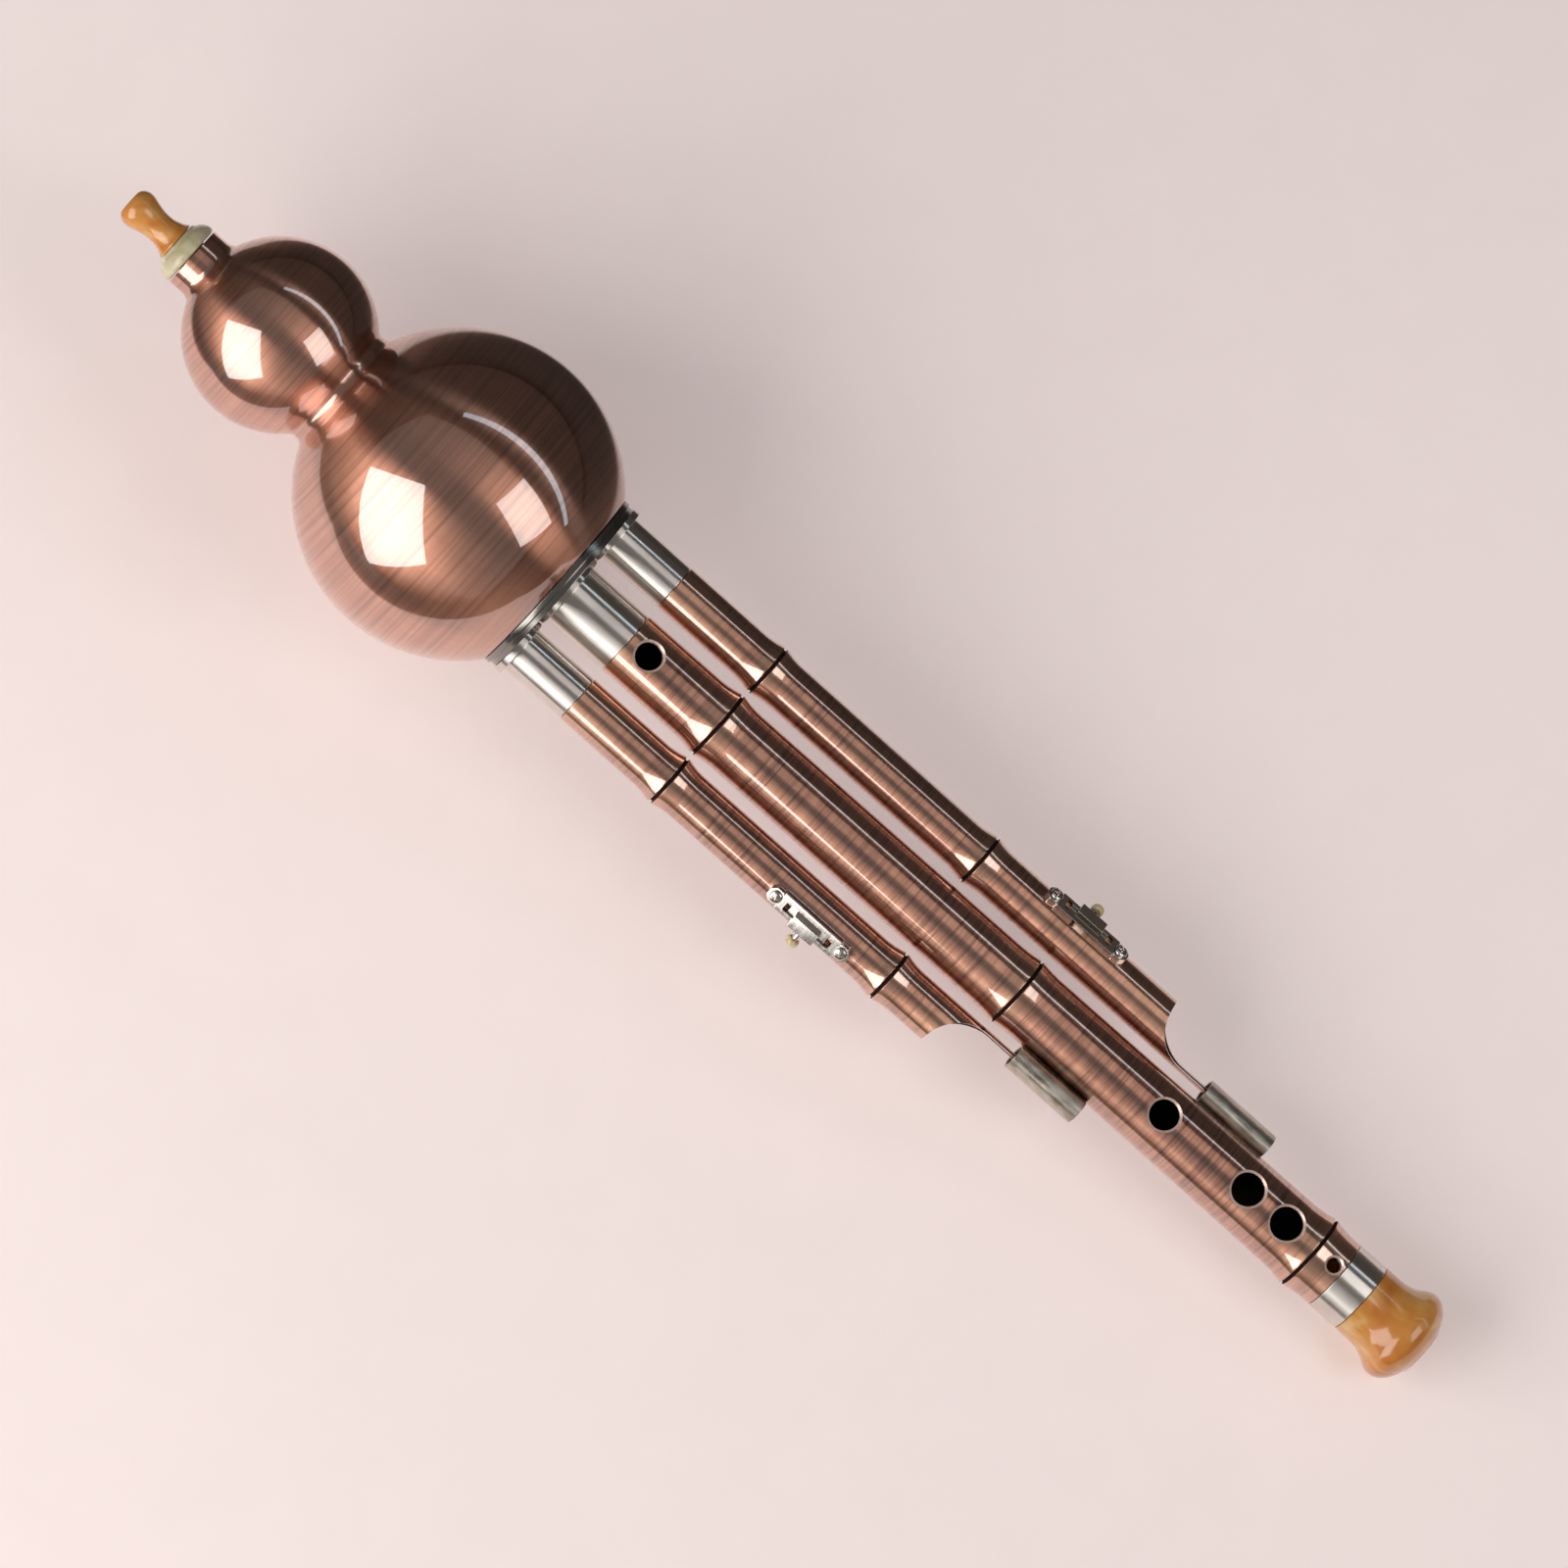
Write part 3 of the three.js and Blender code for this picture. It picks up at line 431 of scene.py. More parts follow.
# Painted shade: near black for the inside of the pipes, the walls of holes and the grooves of the
# nodes
boreAndGrooveShade = plainFinish("paintedShadeCopper", dict(scale=(120, 300, 300), detail=5, roughness=0.65),
                   [(0.3, (0.008, 0.004, 0.003)), (0.7, (0.035, 0.016, 0.012))], (0.7, 0.95),
                   Metallic=0.2, Specular_IOR_Level=0.2)
chrome = chromeFinish()
lockChrome = chromeFinish("lockChrome", 0.0, (0.07, 0.13))
flangeChrome = chromeFinish("flangeChrome", 0.0, (0.16, 0.24), light=0.38)
satin = satinFinish()
amber = amberFinish("amberResin")
amberButton = amberFinish("amberButton", 240, paleShades)
horn = plainFinish("paleHorn", dict(scale=(160, 260, 260), detail=4, distortion=0.6),
                   [(0.3, (0.50, 0.44, 0.26)), (0.6, (0.70, 0.64, 0.43)), (0.75, (0.78, 0.74, 0.56))],
                   (0.34, 0.24), Coat_Weight=0.5, Coat_Roughness=0.08, Subsurface_Weight=0.3,
                   Subsurface_Scale=1.5 * mm)
corkWood = corkFinish()
brass = brassFinish("tenonBrass", (0.80, 0.60, 0.27), (0.42, 0.27, 0.1))
reedCopper = brassFinish("reedCopper", (0.72, 0.42, 0.27), (0.32, 0.16, 0.1))
felt = plainFinish("felt", dict(scale=(3000, 3000, 3000), detail=4, roughness=0.8),
                   [(0.3, (0.02, 0.016, 0.014)), (0.7, (0.075, 0.06, 0.052))], (1, 0.85),
                   bump=(0.6, 0.08 * mm), Sheen_Weight=0.6, Sheen_Roughness=0.5)
print("finishes ready")


# Modelling steps

bevelAngle = math.radians(35)
smoothAngle = math.radians(32)


def editMode():
    bpy.ops.object.mode_set(mode="EDIT")


def selectOnly(piece):
    bpy.ops.object.select_all(action="DESELECT")
    piece.select_set(True)
    bpy.context.view_layer.objects.active = piece


# Everything out, and back to object mode
def finishMesh():
    bpy.ops.mesh.select_all(action="SELECT")
    bpy.ops.mesh.normals_make_consistent(inside=False)
    bpy.ops.object.mode_set(mode="OBJECT")


def named(name):
    piece = bpy.context.object
    piece.name = name
    piece.data.name = name
    return piece


def applyModifier(piece, kind, **settings):
    selectOnly(piece)
    modifier = piece.modifiers.new(kind.title(), kind)
    for name, value in settings.items():
        setattr(modifier, name, value)
    bpy.ops.object.modifier_apply(modifier=modifier.name)


def bevelEdges(piece, width, segments=2):
    applyModifier(piece, "BEVEL", width=width, segments=segments, limit_method="ANGLE",
                  angle_limit=bevelAngle, use_clamp_overlap=True)


def giveMaterials(piece, *materials):
    for material in materials:
        piece.data.materials.append(material)


def cutWith(piece, cutter, operation="DIFFERENCE"):
    if not cutter.data.materials:
        giveMaterials(cutter, piece.data.materials[0])
    applyModifier(piece, "BOOLEAN", object=cutter, operation=operation, solver="EXACT",
                  material_mode="TRANSFER")
    bpy.data.objects.remove(cutter)


# Extrudes one point from corner to corner of an outline
def drawOutline(name, corners, closed=True):
    bpy.ops.mesh.primitive_plane_add(size=mm)
    piece = named(name)
    editMode()
    bpy.ops.mesh.merge(type="CENTER")
    bpy.ops.transform.translate(value=(*corners[0], 0))
    route = corners + corners[:1] if closed else corners
    for here, there in zip(route, route[1:]):
        step = (there[0] - here[0], there[1] - here[1], 0)
        bpy.ops.mesh.extrude_vertices_move(TRANSFORM_OT_translate={"value": step})
    bpy.ops.mesh.select_all(action="SELECT")
    bpy.ops.mesh.remove_doubles(threshold=closeBy)
    return piece


# How many faces run round each turned piece
sides = dict(stem=40, screw=48, button=64, tenon=96, sleeve=96, drone=112, tail=128, mainPipe=144,
             flange=160, smallBall=192, largeBall=224)


# Turns an outline of (x, radius) corners about the x axis
def turnOutline(name, outline, around=96):
    piece = drawOutline(name, outline, closed=outline[0][1] > 0)
    bpy.ops.mesh.spin(steps=around, angle=math.tau, center=(0, 0, 0), axis=(1, 0, 0))
    bpy.ops.mesh.select_all(action="SELECT")
    bpy.ops.mesh.remove_doubles(threshold=closeBy)
    finishMesh()
    return piece


# A turned piece with its edges broken, in its finishes
def turnPiece(name, outline, around, edge, *materials, segments=2):
    piece = turnOutline(name, outline, around)
    bevelEdges(piece, edge, segments)
    giveMaterials(piece, *materials)
    return piece


def extrudeUp(rise):
    bpy.ops.mesh.extrude_region_move(TRANSFORM_OT_translate={"value": (0, 0, rise)})


# Fills an outline of (x, y) corners and extrudes it along z
def extrudeOutline(name, corners, lowZ, highZ):
    piece = drawOutline(name, corners)
    bpy.ops.transform.translate(value=(0, 0, lowZ))
    bpy.ops.mesh.edge_face_add()
    extrudeUp(highZ - lowZ)
    finishMesh()
    return piece


def rodOutline(startX, endX, radius):
    return [(startX, 0), (startX, radius), (endX, radius), (endX, 0)]


def tubeOutline(startX, endX, radius, innerRadius):
    return [(startX, radius), (endX, radius), (endX, innerRadius), (startX, innerRadius)]


def arcCorners(x, height, radius, fromAngle, toAngle, steps):
    angles = [fromAngle + (toAngle - fromAngle) * step / steps for step in range(steps + 1)]
    return [(x + radius * math.cos(angle), height + radius * math.sin(angle)) for angle in angles]


# A smooth line through an outline's corners
def smoothThrough(corners, steps=6):
    ends = [corners[0], *corners, corners[-1]]
    line = []
    for before, here, there, after in zip(ends, ends[1:], ends[2:], ends[3:]):
        for step in range(steps):
            t = step / steps
            line.append(tuple(
                0.5 * (2 * b + (c - a) * t + (2 * a - 5 * b + 4 * c - d) * t * t
                       + (3 * b - a - 3 * c + d) * t ** 3)
                for a, b, c, d in zip(before, here, there, after)))
    return line + [corners[-1]]


# How bright a copper piece is near its ends and nodes, kept on its points: partly rubbed wear and
# partly a painted highlight
def paintWearAndSheen(piece, spots, reach, most):
    wearAndSheen = piece.data.attributes.new("wearAndSheen", "FLOAT", "POINT")
    for point, value in zip(piece.data.vertices, wearAndSheen.data):
        nearest = min(abs(point.co.x - spot) for spot in spots)
        value.value = most * math.exp(-(nearest / reach) ** 1.5)


# Gives the second finish, a painted shade of near black, to the bore and to the grooves of the nodes
def paintShadeFaces(piece, limit, nodes):
    half = groove["width"] / 2 - groove["margin"]
    for face in piece.data.polygons:
        inGroove = any(abs(face.center.x - node) < half for node in nodes)
        if inGroove or math.hypot(face.center.y, face.center.z) < limit:
            face.material_index = 1


def atSide(acrossY=0.0):
    return pipeFrame @ Matrix.Translation((0, acrossY, 0))


# Puts a drawn piece where the frame has it, and hides the CAD part it stands for
def layDown(piece, place, body, replaced):
    selectOnly(piece)
    piece.matrix_world = place
    bpy.ops.object.transform_apply()
    bpy.ops.object.shade_smooth_by_angle(angle=smoothAngle)
    applyModifier(piece, "WEIGHTED_NORMAL", keep_sharp=True)
    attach(piece, body)
    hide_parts(replaced)
    return piece


# Mouthpiece and its horn ring

mouthSizes = metres(foot=15.0, airHole=1.6, tenonRadius=4.4, rimRound=0.35, ringGap=0.15)
mouthOutline = [(0.03, 2.4), (0.14, 3.15), (0.5, 3.85), (1.2, 4.5), (2.2, 4.9), (3.2, 5.0),
                (4.2, 4.84), (5.4, 4.5), (6.8, 4.12), (8.2, 3.86), (9.6, 3.75), (10.9, 3.8),
                (12.1, 4.08), (13.1, 4.42), (13.9, 4.8), (14.4, 5.15), (14.75, 5.3), (15.0, 5.2)]
ringOutline = [(0.0, 5.35), (0.12, 5.75), (0.5, 6.0), (0.85, 6.3), (1.25, 6.9), (1.75, 7.4),
               (2.3, 7.8), (2.95, 8.15), (3.6, 8.33), (4.2, 8.3), (4.6, 8.1), (4.85, 7.7)]


def scaledOutline(corners, startX=0.0):
    return [(startX + x * mm, radius * mm) for x, radius in corners]


def makeMouthpiece():
    tenonEnd = stations("mouthpiece")[1]
    outside = smoothThrough(scaledOutline(mouthOutline))
    piece = turnOutline("resinMouthpiece", [
        (mouthSizes["rimRound"], mouthSizes["airHole"]), *outside,
        (mouthSizes["foot"], mouthSizes["tenonRadius"]), (tenonEnd, mouthSizes["tenonRadius"]),
        (tenonEnd, mouthSizes["airHole"])])
    giveMaterials(piece, amber)
    layDown(piece, atSide(), "mouthpiece_unit", "mouthpiece")


def makeHornRing():
    startX, endX, _ = stations("mouthpiece_ring")
    outside = smoothThrough(scaledOutline(ringOutline, startX))
    hole = mouthSizes["tenonRadius"] + mouthSizes["ringGap"]
    piece = turnOutline("mouthpieceRing", [*outside, (endX, hole), (startX, hole)])
    giveMaterials(piece, horn)
    layDown(piece, atSide(), "mouthpiece_unit", "mouthpiece_ring")


makeMouthpiece()
makeHornRing()
print("mouthpiece ready")

# Gourd: two spun balls that meet in a seam at the waist

gourd = metres(wall=1.2, neckRadius=8.2, neckFillet=2.6, smallFromNeck=28.7, largeFromSmall=58.3,
               waistFillet=2.4, spigot=4.0, spigotGap=0.3, seam=0.05, edge=0.06, lipInset=1.0)
gourdSteps = dict(fillet=8, small=72, smallInside=24, large=96, largeInside=32)
# Painted highlight with some wear: brighter copper at the gourd's waist and at its lip by the flange
gourdWearAndSheen = dict(reach=5 * mm, most=0.12)
smallX = stations("gourd_upper_shell")[0] + gourd["smallFromNeck"]
largeX = smallX + gourd["largeFromSmall"]
smallRadius = halfWidth("gourd_upper_shell")
largeRadius = halfWidth("gourd_lower_shell") - inset


def waistCentre():
    reachSmall = smallRadius + gourd["waistFillet"]
    reachLarge = largeRadius + gourd["waistFillet"]
    apart = gourd["largeFromSmall"]
    along = (apart ** 2 + reachSmall ** 2 - reachLarge ** 2) / (2 * apart)
    return smallX + along, math.sqrt(reachSmall ** 2 - along ** 2)


waistX, waistHeight = waistCentre()
waistRadius = waistHeight - gourd["waistFillet"]
smallWaistAngle = math.atan2(waistHeight, waistX - smallX)


def smallBallOutline(depth, steps):
    fillet = gourd["neckFillet"]
    height = gourd["neckRadius"] + fillet
    centreX = smallX - math.sqrt((smallRadius + fillet) ** 2 - height ** 2)
    neckAngle = math.atan2(height, smallX - centreX)
    neck = arcCorners(centreX, height, fillet + depth, -math.pi / 2, -neckAngle, gourdSteps["fillet"])
    ball = arcCorners(smallX, 0, smallRadius - depth, math.pi - neckAngle, smallWaistAngle, steps)
    return [(stations("gourd_upper_shell")[0], gourd["neckRadius"] - depth), *neck, *ball[1:]]


def makeUpperShell():
    seamX = waistX - gourd["seam"]
    spigotEnd = waistX + gourd["spigot"]
    spigotRadius = waistRadius - gourd["wall"] - gourd["spigotGap"]
    fillet = arcCorners(waistX, waistHeight, gourd["waistFillet"], math.pi + smallWaistAngle,
                        1.5 * math.pi, gourdSteps["fillet"])
    inside = smallBallOutline(gourd["wall"], gourdSteps["smallInside"])
    piece = turnPiece("gourdUpperShell", [
        *smallBallOutline(0, gourdSteps["small"]), *fillet[1:-1], (seamX, waistRadius),
        (seamX, spigotRadius), (spigotEnd, spigotRadius), (spigotEnd, spigotRadius - gourd["wall"]),
        (waistX, spigotRadius - gourd["wall"]), *reversed(inside)],
        sides["smallBall"], gourd["edge"], gourdCopper)
    paintWearAndSheen(piece, [waistX], **gourdWearAndSheen)
    layDown(piece, atSide(), "wind_chamber", "gourd_upper_shell")


def largeBallOutline(depth, endX, steps):
    waistAngle = math.atan2(waistHeight, waistX - largeX)
    endAngle = math.acos((endX - largeX) / (largeRadius - depth))
    fillet = arcCorners(waistX, waistHeight, gourd["waistFillet"] + depth, 1.5 * math.pi,
                        math.pi + waistAngle, gourdSteps["fillet"])
    return fillet[1:] + arcCorners(largeX, 0, largeRadius - depth, waistAngle, endAngle, steps)[1:]


def makeLowerShell():
    startX, endX, _ = stations("gourd_lower_shell")
    lipX = endX - gourd["wall"]
    lipRadius = stations("flange_plate")[2] - gourd["lipInset"]
    inside = largeBallOutline(gourd["wall"], lipX, gourdSteps["largeInside"])
    piece = turnPiece("gourdLowerShell", [
        (startX, waistRadius), *largeBallOutline(0, endX, gourdSteps["large"]), (endX, lipRadius),
        (lipX, lipRadius), *reversed(inside), (startX, waistRadius - gourd["wall"])],
        sides["largeBall"], gourd["edge"], gourdCopper)
    paintWearAndSheen(piece, [waistX, endX], **gourdWearAndSheen)
    layDown(piece, atSide(), "wind_chamber", "gourd_lower_shell")


makeUpperShell()
makeLowerShell()
print("gourd ready")

# Flange with its three collars

flange = metres(step=0.5, stepThickness=1.5, thickness=3.0, rim=1.0, seatGap=0.3, fineGap=0.15,
                edge=0.18)
collar = metres(wall=0.85, footLength=1.9, edge=0.22)
places = {"main": 0.0, "long": droneSpacing, "short": -droneSpacing}
bores = metres(main=7.6, long=5.35, short=5.35)


def makeFlange():
    startX, endX, radius = stations("flange_plate")
    faceX = endX - flange["thickness"]
    stepX = endX - flange["stepThickness"]
    spigotRadius = radius - flange["rim"] - flange["seatGap"]
    piece = turnPiece("flangePlate", [
        (startX, 0), (startX, spigotRadius), (faceX, spigotRadius), (faceX, radius), (stepX, radius),
        (stepX, radius - flange["step"]), (endX, radius - flange["step"]), (endX, 0)],
        sides["flange"], flange["edge"], flangeChrome)
    for name, acrossY in places.items():
        reach = bores[name] + collar["wall"] + flange["fineGap"]
        cutter = turnOutline("boreCutter", rodOutline(startX - mm, endX + mm, reach))
        cutter.location.y = acrossY
        cutWith(piece, cutter)
    layDown(piece, atSide(), "wind_chamber", "flange_plate")


def makeCollar(name, acrossY):
    startX, endX, footRadius = stations(name + "_collar", acrossY)
    radius = bores[name] + collar["wall"]
    footX = stations("flange_plate")[1] + flange["fineGap"]
    footEnd = footX + collar["footLength"]
    piece = turnPiece(name + "Collar", [
        (startX, radius), (footX, radius), (footX, footRadius), (footEnd, footRadius),
        (footEnd, radius), (endX, radius), (endX, bores[name]), (startX, bores[name])],
        sides["drone"], collar["edge"], chrome, segments=3)
    layDown(piece, atSide(acrossY), "wind_chamber", name + "_collar")


makeFlange()
for name, acrossY in places.items():
    makeCollar(name, acrossY)
print("flange and collars ready")

# Pipes with bamboo nodes

groove = metres(width=1.0, floorWidth=0.62, depth=0.7, margin=0.05)
pipeEdge = metres(bevel=0.12, boreReach=0.2)
# Painted highlight with some wear: brighter copper near the ends and nodes of the pipes
pipeWearAndSheen = dict(reach=4.5 * mm, most=0.6)
flareSteps = 14
flareRise = 1.9


# A node flares up to a ridge on both sides of a narrow groove
def bambooOutline(startX, endX, startRadius, endRadius, nodes, flare):
    slope = (endRadius - startRadius) / (endX - startX)
    half, halfFloor = groove["width"] / 2, groove["floorWidth"] / 2

    def corner(x, out):
        return x, startRadius + slope * (x - startX) + out

    line = [corner(startX, 0)]
    for x, ridge in nodes:
        rise = [(half + flare * (1 - step / flareSteps), ridge * (step / flareSteps) ** flareRise)
                for step in range(flareSteps + 1)]
        floor = ridge - groove["depth"]
        line += [corner(x - away, up) for away, up in rise]
        line += [corner(x - halfFloor, floor), corner(x + halfFloor, floor)]
        line += [corner(x + away, up) for away, up in reversed(rise)]
    return line + [corner(endX, 0)]


# Radius of an outline at a place along it
def radiusAt(outline, x):
    for (x0, r0), (x1, r1) in zip(outline, outline[1:]):
        if x0 <= x <= x1:
            return r0 + (r1 - r0) * (x - x0) / max(x1 - x0, closeBy)
    return outline[-1][1]


holeRim = metres(chamfer=0.6, above=1.5, plain=0.1)
holeSides = 72


# A hole with a chamfer that follows the round of the pipe. Its cutter is drawn over the x axis.
def holeCutter(outline, x, radius, chamfer, turn=0.0):
    bpy.ops.mesh.primitive_circle_add(vertices=holeSides, radius=radius, fill_type="NGON")
    cutter = named("holeCutter")
    editMode()
    for scale in (1, (radius + chamfer + holeRim["above"] / 4) / radius, 1):
        extrudeUp(mm)
        bpy.ops.transform.resize(value=(scale, scale, 1))
    finishMesh()
    top = max(r for _, r in outline) + 2 * holeRim["above"]
    for point in cutter.data.vertices:
        level = round(point.co.z / mm)
        spread = math.hypot(point.co.x, point.co.y)
        surface = math.sqrt(max(radiusAt(outline, x + point.co.x) ** 2 - point.co.y ** 2, 0))
        heights = (0, surface - chamfer, surface + spread - radius - chamfer, top)
        point.co.z = heights[level]
    # The chamfer takes the rim finish with its painted highlight, and the walls take the near-black
    # painted shade
    for face in cutter.data.polygons:
        face.material_index = 1 if abs(face.normal.z) < 0.2 else 0
    giveMaterials(cutter, rim, boreAndGrooveShade)
    cutter.location.x = x
    cutter.rotation_euler.x = turn
    return cutter


mainPipe = dict(metres(flare=6.2, thumbHole=3.5, fingerHole=3.75, cordHole=1.9, startRadius=8.7,
                       endRadius=9.6),
                nodeShares=[0.1286, 0.5504, 0.964], ridges=[0.78, 0.5, 0.8], thumbShare=0.0257,
                vents=[(0.7501, 3.85), (0.8684, 4.2), (0.9228, 4.2)], cordShare=0.9892,
                fingerShares=[0.0814, 0.18, 0.2786, 0.3858, 0.4843, 0.5958])
mainStart, mainEnd, _ = stations("main_pipe")
mainLength = mainEnd - mainStart


def mainOutline(clearance=0.0):
    nodes = [(mainStart + share * mainLength, ridge * mm)
             for share, ridge in zip(mainPipe["nodeShares"], mainPipe["ridges"])]
    return bambooOutline(mainStart, mainEnd, mainPipe["startRadius"] + clearance,
                         mainPipe["endRadius"] + clearance, nodes, mainPipe["flare"])


def makeMainPipe():
    outline = mainOutline()
    piece = turnPiece("mainPipe", [*outline, (mainEnd, bores["main"]), (mainStart, bores["main"])],
                      sides["mainPipe"], pipeEdge["bevel"], mainCopper, boreAndGrooveShade)
    spots = [mainStart + share * mainLength for share in mainPipe["nodeShares"]]
    paintShadeFaces(piece, bores["main"] + pipeEdge["boreReach"], spots)
    back = [(mainPipe["thumbShare"], mainPipe["thumbHole"]),
            (mainPipe["cordShare"], mainPipe["cordHole"])]
    back += [(share, radius * mm) for share, radius in mainPipe["vents"]]
    front = [(share, mainPipe["fingerHole"]) for share in mainPipe["fingerShares"]]
    for holes, turn in ((back, 0), (front, math.pi)):
        for share, radius in holes:
            cutWith(piece, holeCutter(outline, mainStart + share * mainLength, radius,
                                      holeRim["chamfer"], turn))
    paintWearAndSheen(piece, [mainStart, mainEnd, *spots], **pipeWearAndSheen)
    layDown(piece, atSide(), "middle_pipe", "main_pipe")


makeMainPipe()
print("middle pipe ready")

# Drones, with a scooped end that leaves a tongue on the side of the middle pipe

droneTube = metres(radius=6.35, ridge=0.85, flare=5.6, tongue=24.0, scoop=12.0, tongueThickness=1.15,
                   soundHole=1.5, screwHole=0.9)
scoopSteps = 36
drones = [
    dict(name="long", side=1, nodeShares=[0.1909, 0.6277], lockShare=0.816, turn=math.radians(18),
         copper=longCopper),
    dict(name="short", side=-1, nodeShares=[0.2536, 0.8622], lockShare=0.6636,
         turn=math.radians(-3.5), copper=shortCopper),
]
lockTurn = math.radians(37.5)
lockTravel = 2.4 * mm
screwSpacing = 21 * mm


def droneLength(drone):
    startX, endX, _ = stations(drone["name"] + "_drone_pipe", drone["side"] * droneSpacing)
    return startX, endX, endX - startX - droneTube["tongue"] - droneTube["scoop"]


def lockPlace(drone):
    startX, _, length = droneLength(drone)
    return startX + drone["lockShare"] * length


def droneOutline(drone, clearance=0.0):
    startX, endX, length = droneLength(drone)
    nodes = [(startX + share * length, droneTube["ridge"]) for share in drone["nodeShares"]]
    radius = droneTube["radius"] + clearance
    return bambooOutline(startX, endX, radius, radius, nodes, droneTube["flare"])


def scoopCutter(drone):
    startX, endX, length = droneLength(drone)
    fromX = startX + length
    floorY = droneTube["tongueThickness"] - droneTube["radius"]
    drop = droneTube["radius"] - floorY
    angles = [math.pi / 2 * step / scoopSteps for step in range(scoopSteps + 1)]
    curve = [(fromX + droneTube["scoop"] * (1 - math.cos(angle)),
              droneTube["radius"] - drop * math.sin(angle)) for angle in angles]
    outerY = droneTube["radius"] + mm
    corners = [(fromX, outerY), *curve, (endX + mm, floorY), (endX + mm, outerY)]
    corners = [(x, y * drone["side"]) for x, y in corners]
    cutter = extrudeOutline("scoopCutter", corners, -outerY, outerY)
    giveMaterials(cutter, rim)
    cutter.rotation_euler.x = drone["turn"] * drone["side"]
    return cutter


def makeDrone(drone):
    name, side = drone["name"], drone["side"]
    outline = droneOutline(drone)
    startX, endX, length = droneLength(drone)
    piece = turnPiece(name + "DronePipe", [*outline, (endX, bores[name]), (startX, bores[name])],
                      sides["drone"], pipeEdge["bevel"], drone["copper"], boreAndGrooveShade)
    spots = [startX + share * length for share in drone["nodeShares"]]
    paintShadeFaces(piece, bores[name] + pipeEdge["boreReach"], spots)
    cutWith(piece, scoopCutter(drone))
    for shift, hole in ((-lockTravel, "soundHole"), (-screwSpacing / 2, "screwHole"),
                        (screwSpacing / 2, "screwHole")):
        cutWith(piece, holeCutter(outline, lockPlace(drone) + shift, droneTube[hole],
                                  holeRim["plain"], -side * lockTurn))
    paintWearAndSheen(piece, [startX, startX + length, *spots], **pipeWearAndSheen)
    layDown(piece, atSide(side * droneSpacing), name + "_drone", name + "_drone_pipe")


for drone in drones:
    makeDrone(drone)
print("drones ready")

# Tenons with their cork rings, which show when a pipe is drawn out to tune it

tenonWall = metres(main=1.4, long=1.3, short=1.3)
tenonEdge = 0.1 * mm
corkRing = metres(length=7.0, thickness=0.8, fromEnd=2.0, gap=0.2, edge=0.2)
tenonBodies = {"main": "middle_pipe", "long": "long_drone", "short": "short_drone"}


def makeTenon(name, acrossY):
    startX, endX, radius = stations(name + "_tenon", acrossY)
    grooveX = startX + corkRing["fromEnd"]
    grooveEnd = grooveX + corkRing["length"] + 2 * corkRing["gap"]
    floor = bores[name] - corkRing["thickness"] - 2 * corkRing["gap"]
    inside = radius - tenonWall[name]
    tenon = turnPiece(name + "Tenon", [
        (startX, radius), (grooveX, radius), (grooveX, floor), (grooveEnd, floor),
        (grooveEnd, radius), (endX, radius), (endX, inside), (startX, inside)],
        sides["tenon"], tenonEdge, brass, boreAndGrooveShade)
    if name == "main":
        outline = [(startX, radius), (endX, radius)]
        hole = mainStart + mainPipe["thumbShare"] * mainLength
        cutWith(tenon, holeCutter(outline, hole, mainPipe["thumbHole"], holeRim["plain"]))
    paintShadeFaces(tenon, inside + tenonEdge, [])
    layDown(tenon, atSide(acrossY), tenonBodies[name], name + "_tenon")
    startX, endX, radius = stations(name + "_tenon_cork", acrossY)
    ring = tubeOutline(startX, endX, radius, radius - corkRing["thickness"])
    cork = turnPiece(name + "TenonCork", ring, sides["tenon"], corkRing["edge"], corkWood)
    layDown(cork, atSide(acrossY), tenonBodies[name], name + "_tenon_cork")


for name, acrossY in places.items():
    makeTenon(name, acrossY)
print("tenons ready")

# Sleeves on the middle pipe, which the tongues slide through

sleeve = metres(halfWidth=3.3, wall=0.6, slack=0.95, seatGap=0.15, edge=0.15)


def makeSleeve(drone):
    name, side = drone["name"], drone["side"]
    acrossY = side * droneSpacing
    startX, endX, _ = stations(name + "_clip", acrossY)
    floorY = droneTube["tongueThickness"] - droneTube["radius"]
    middleY = floorY - droneTube["tongueThickness"] / 2
    halfHeight = math.sqrt(droneTube["radius"] ** 2 - floorY ** 2) + sleeve["slack"] + sleeve["wall"]
    bpy.ops.mesh.primitive_circle_add(vertices=sides["sleeve"], radius=1, fill_type="NOTHING")
    piece = named(name + "Sleeve")
    editMode()
    bpy.ops.transform.resize(value=(halfHeight, sleeve["halfWidth"], 1))
    extrudeUp(endX - startX)
    finishMesh()
    applyModifier(piece, "SOLIDIFY", thickness=sleeve["wall"], offset=-1, use_even_offset=True)
    piece.rotation_euler = (0, math.pi / 2, 0)
    piece.location = (startX, middleY * side, 0)
    bpy.ops.object.transform_apply()
    bevelEdges(piece, sleeve["edge"])
    piece.rotation_euler.x = drone["turn"] * side
    bpy.ops.object.transform_apply()
    seat = turnOutline("seatCutter", [(mainStart, 0), *mainOutline(sleeve["seatGap"]), (mainEnd, 0)])
    seat.location.y = -acrossY
    giveMaterials(piece, satin)
    cutWith(piece, seat)
    layDown(piece, atSide(acrossY), "middle_pipe", name + "_clip")


for drone in drones:
    makeSleeve(drone)
print("sleeves ready")

# Tail collar and bell

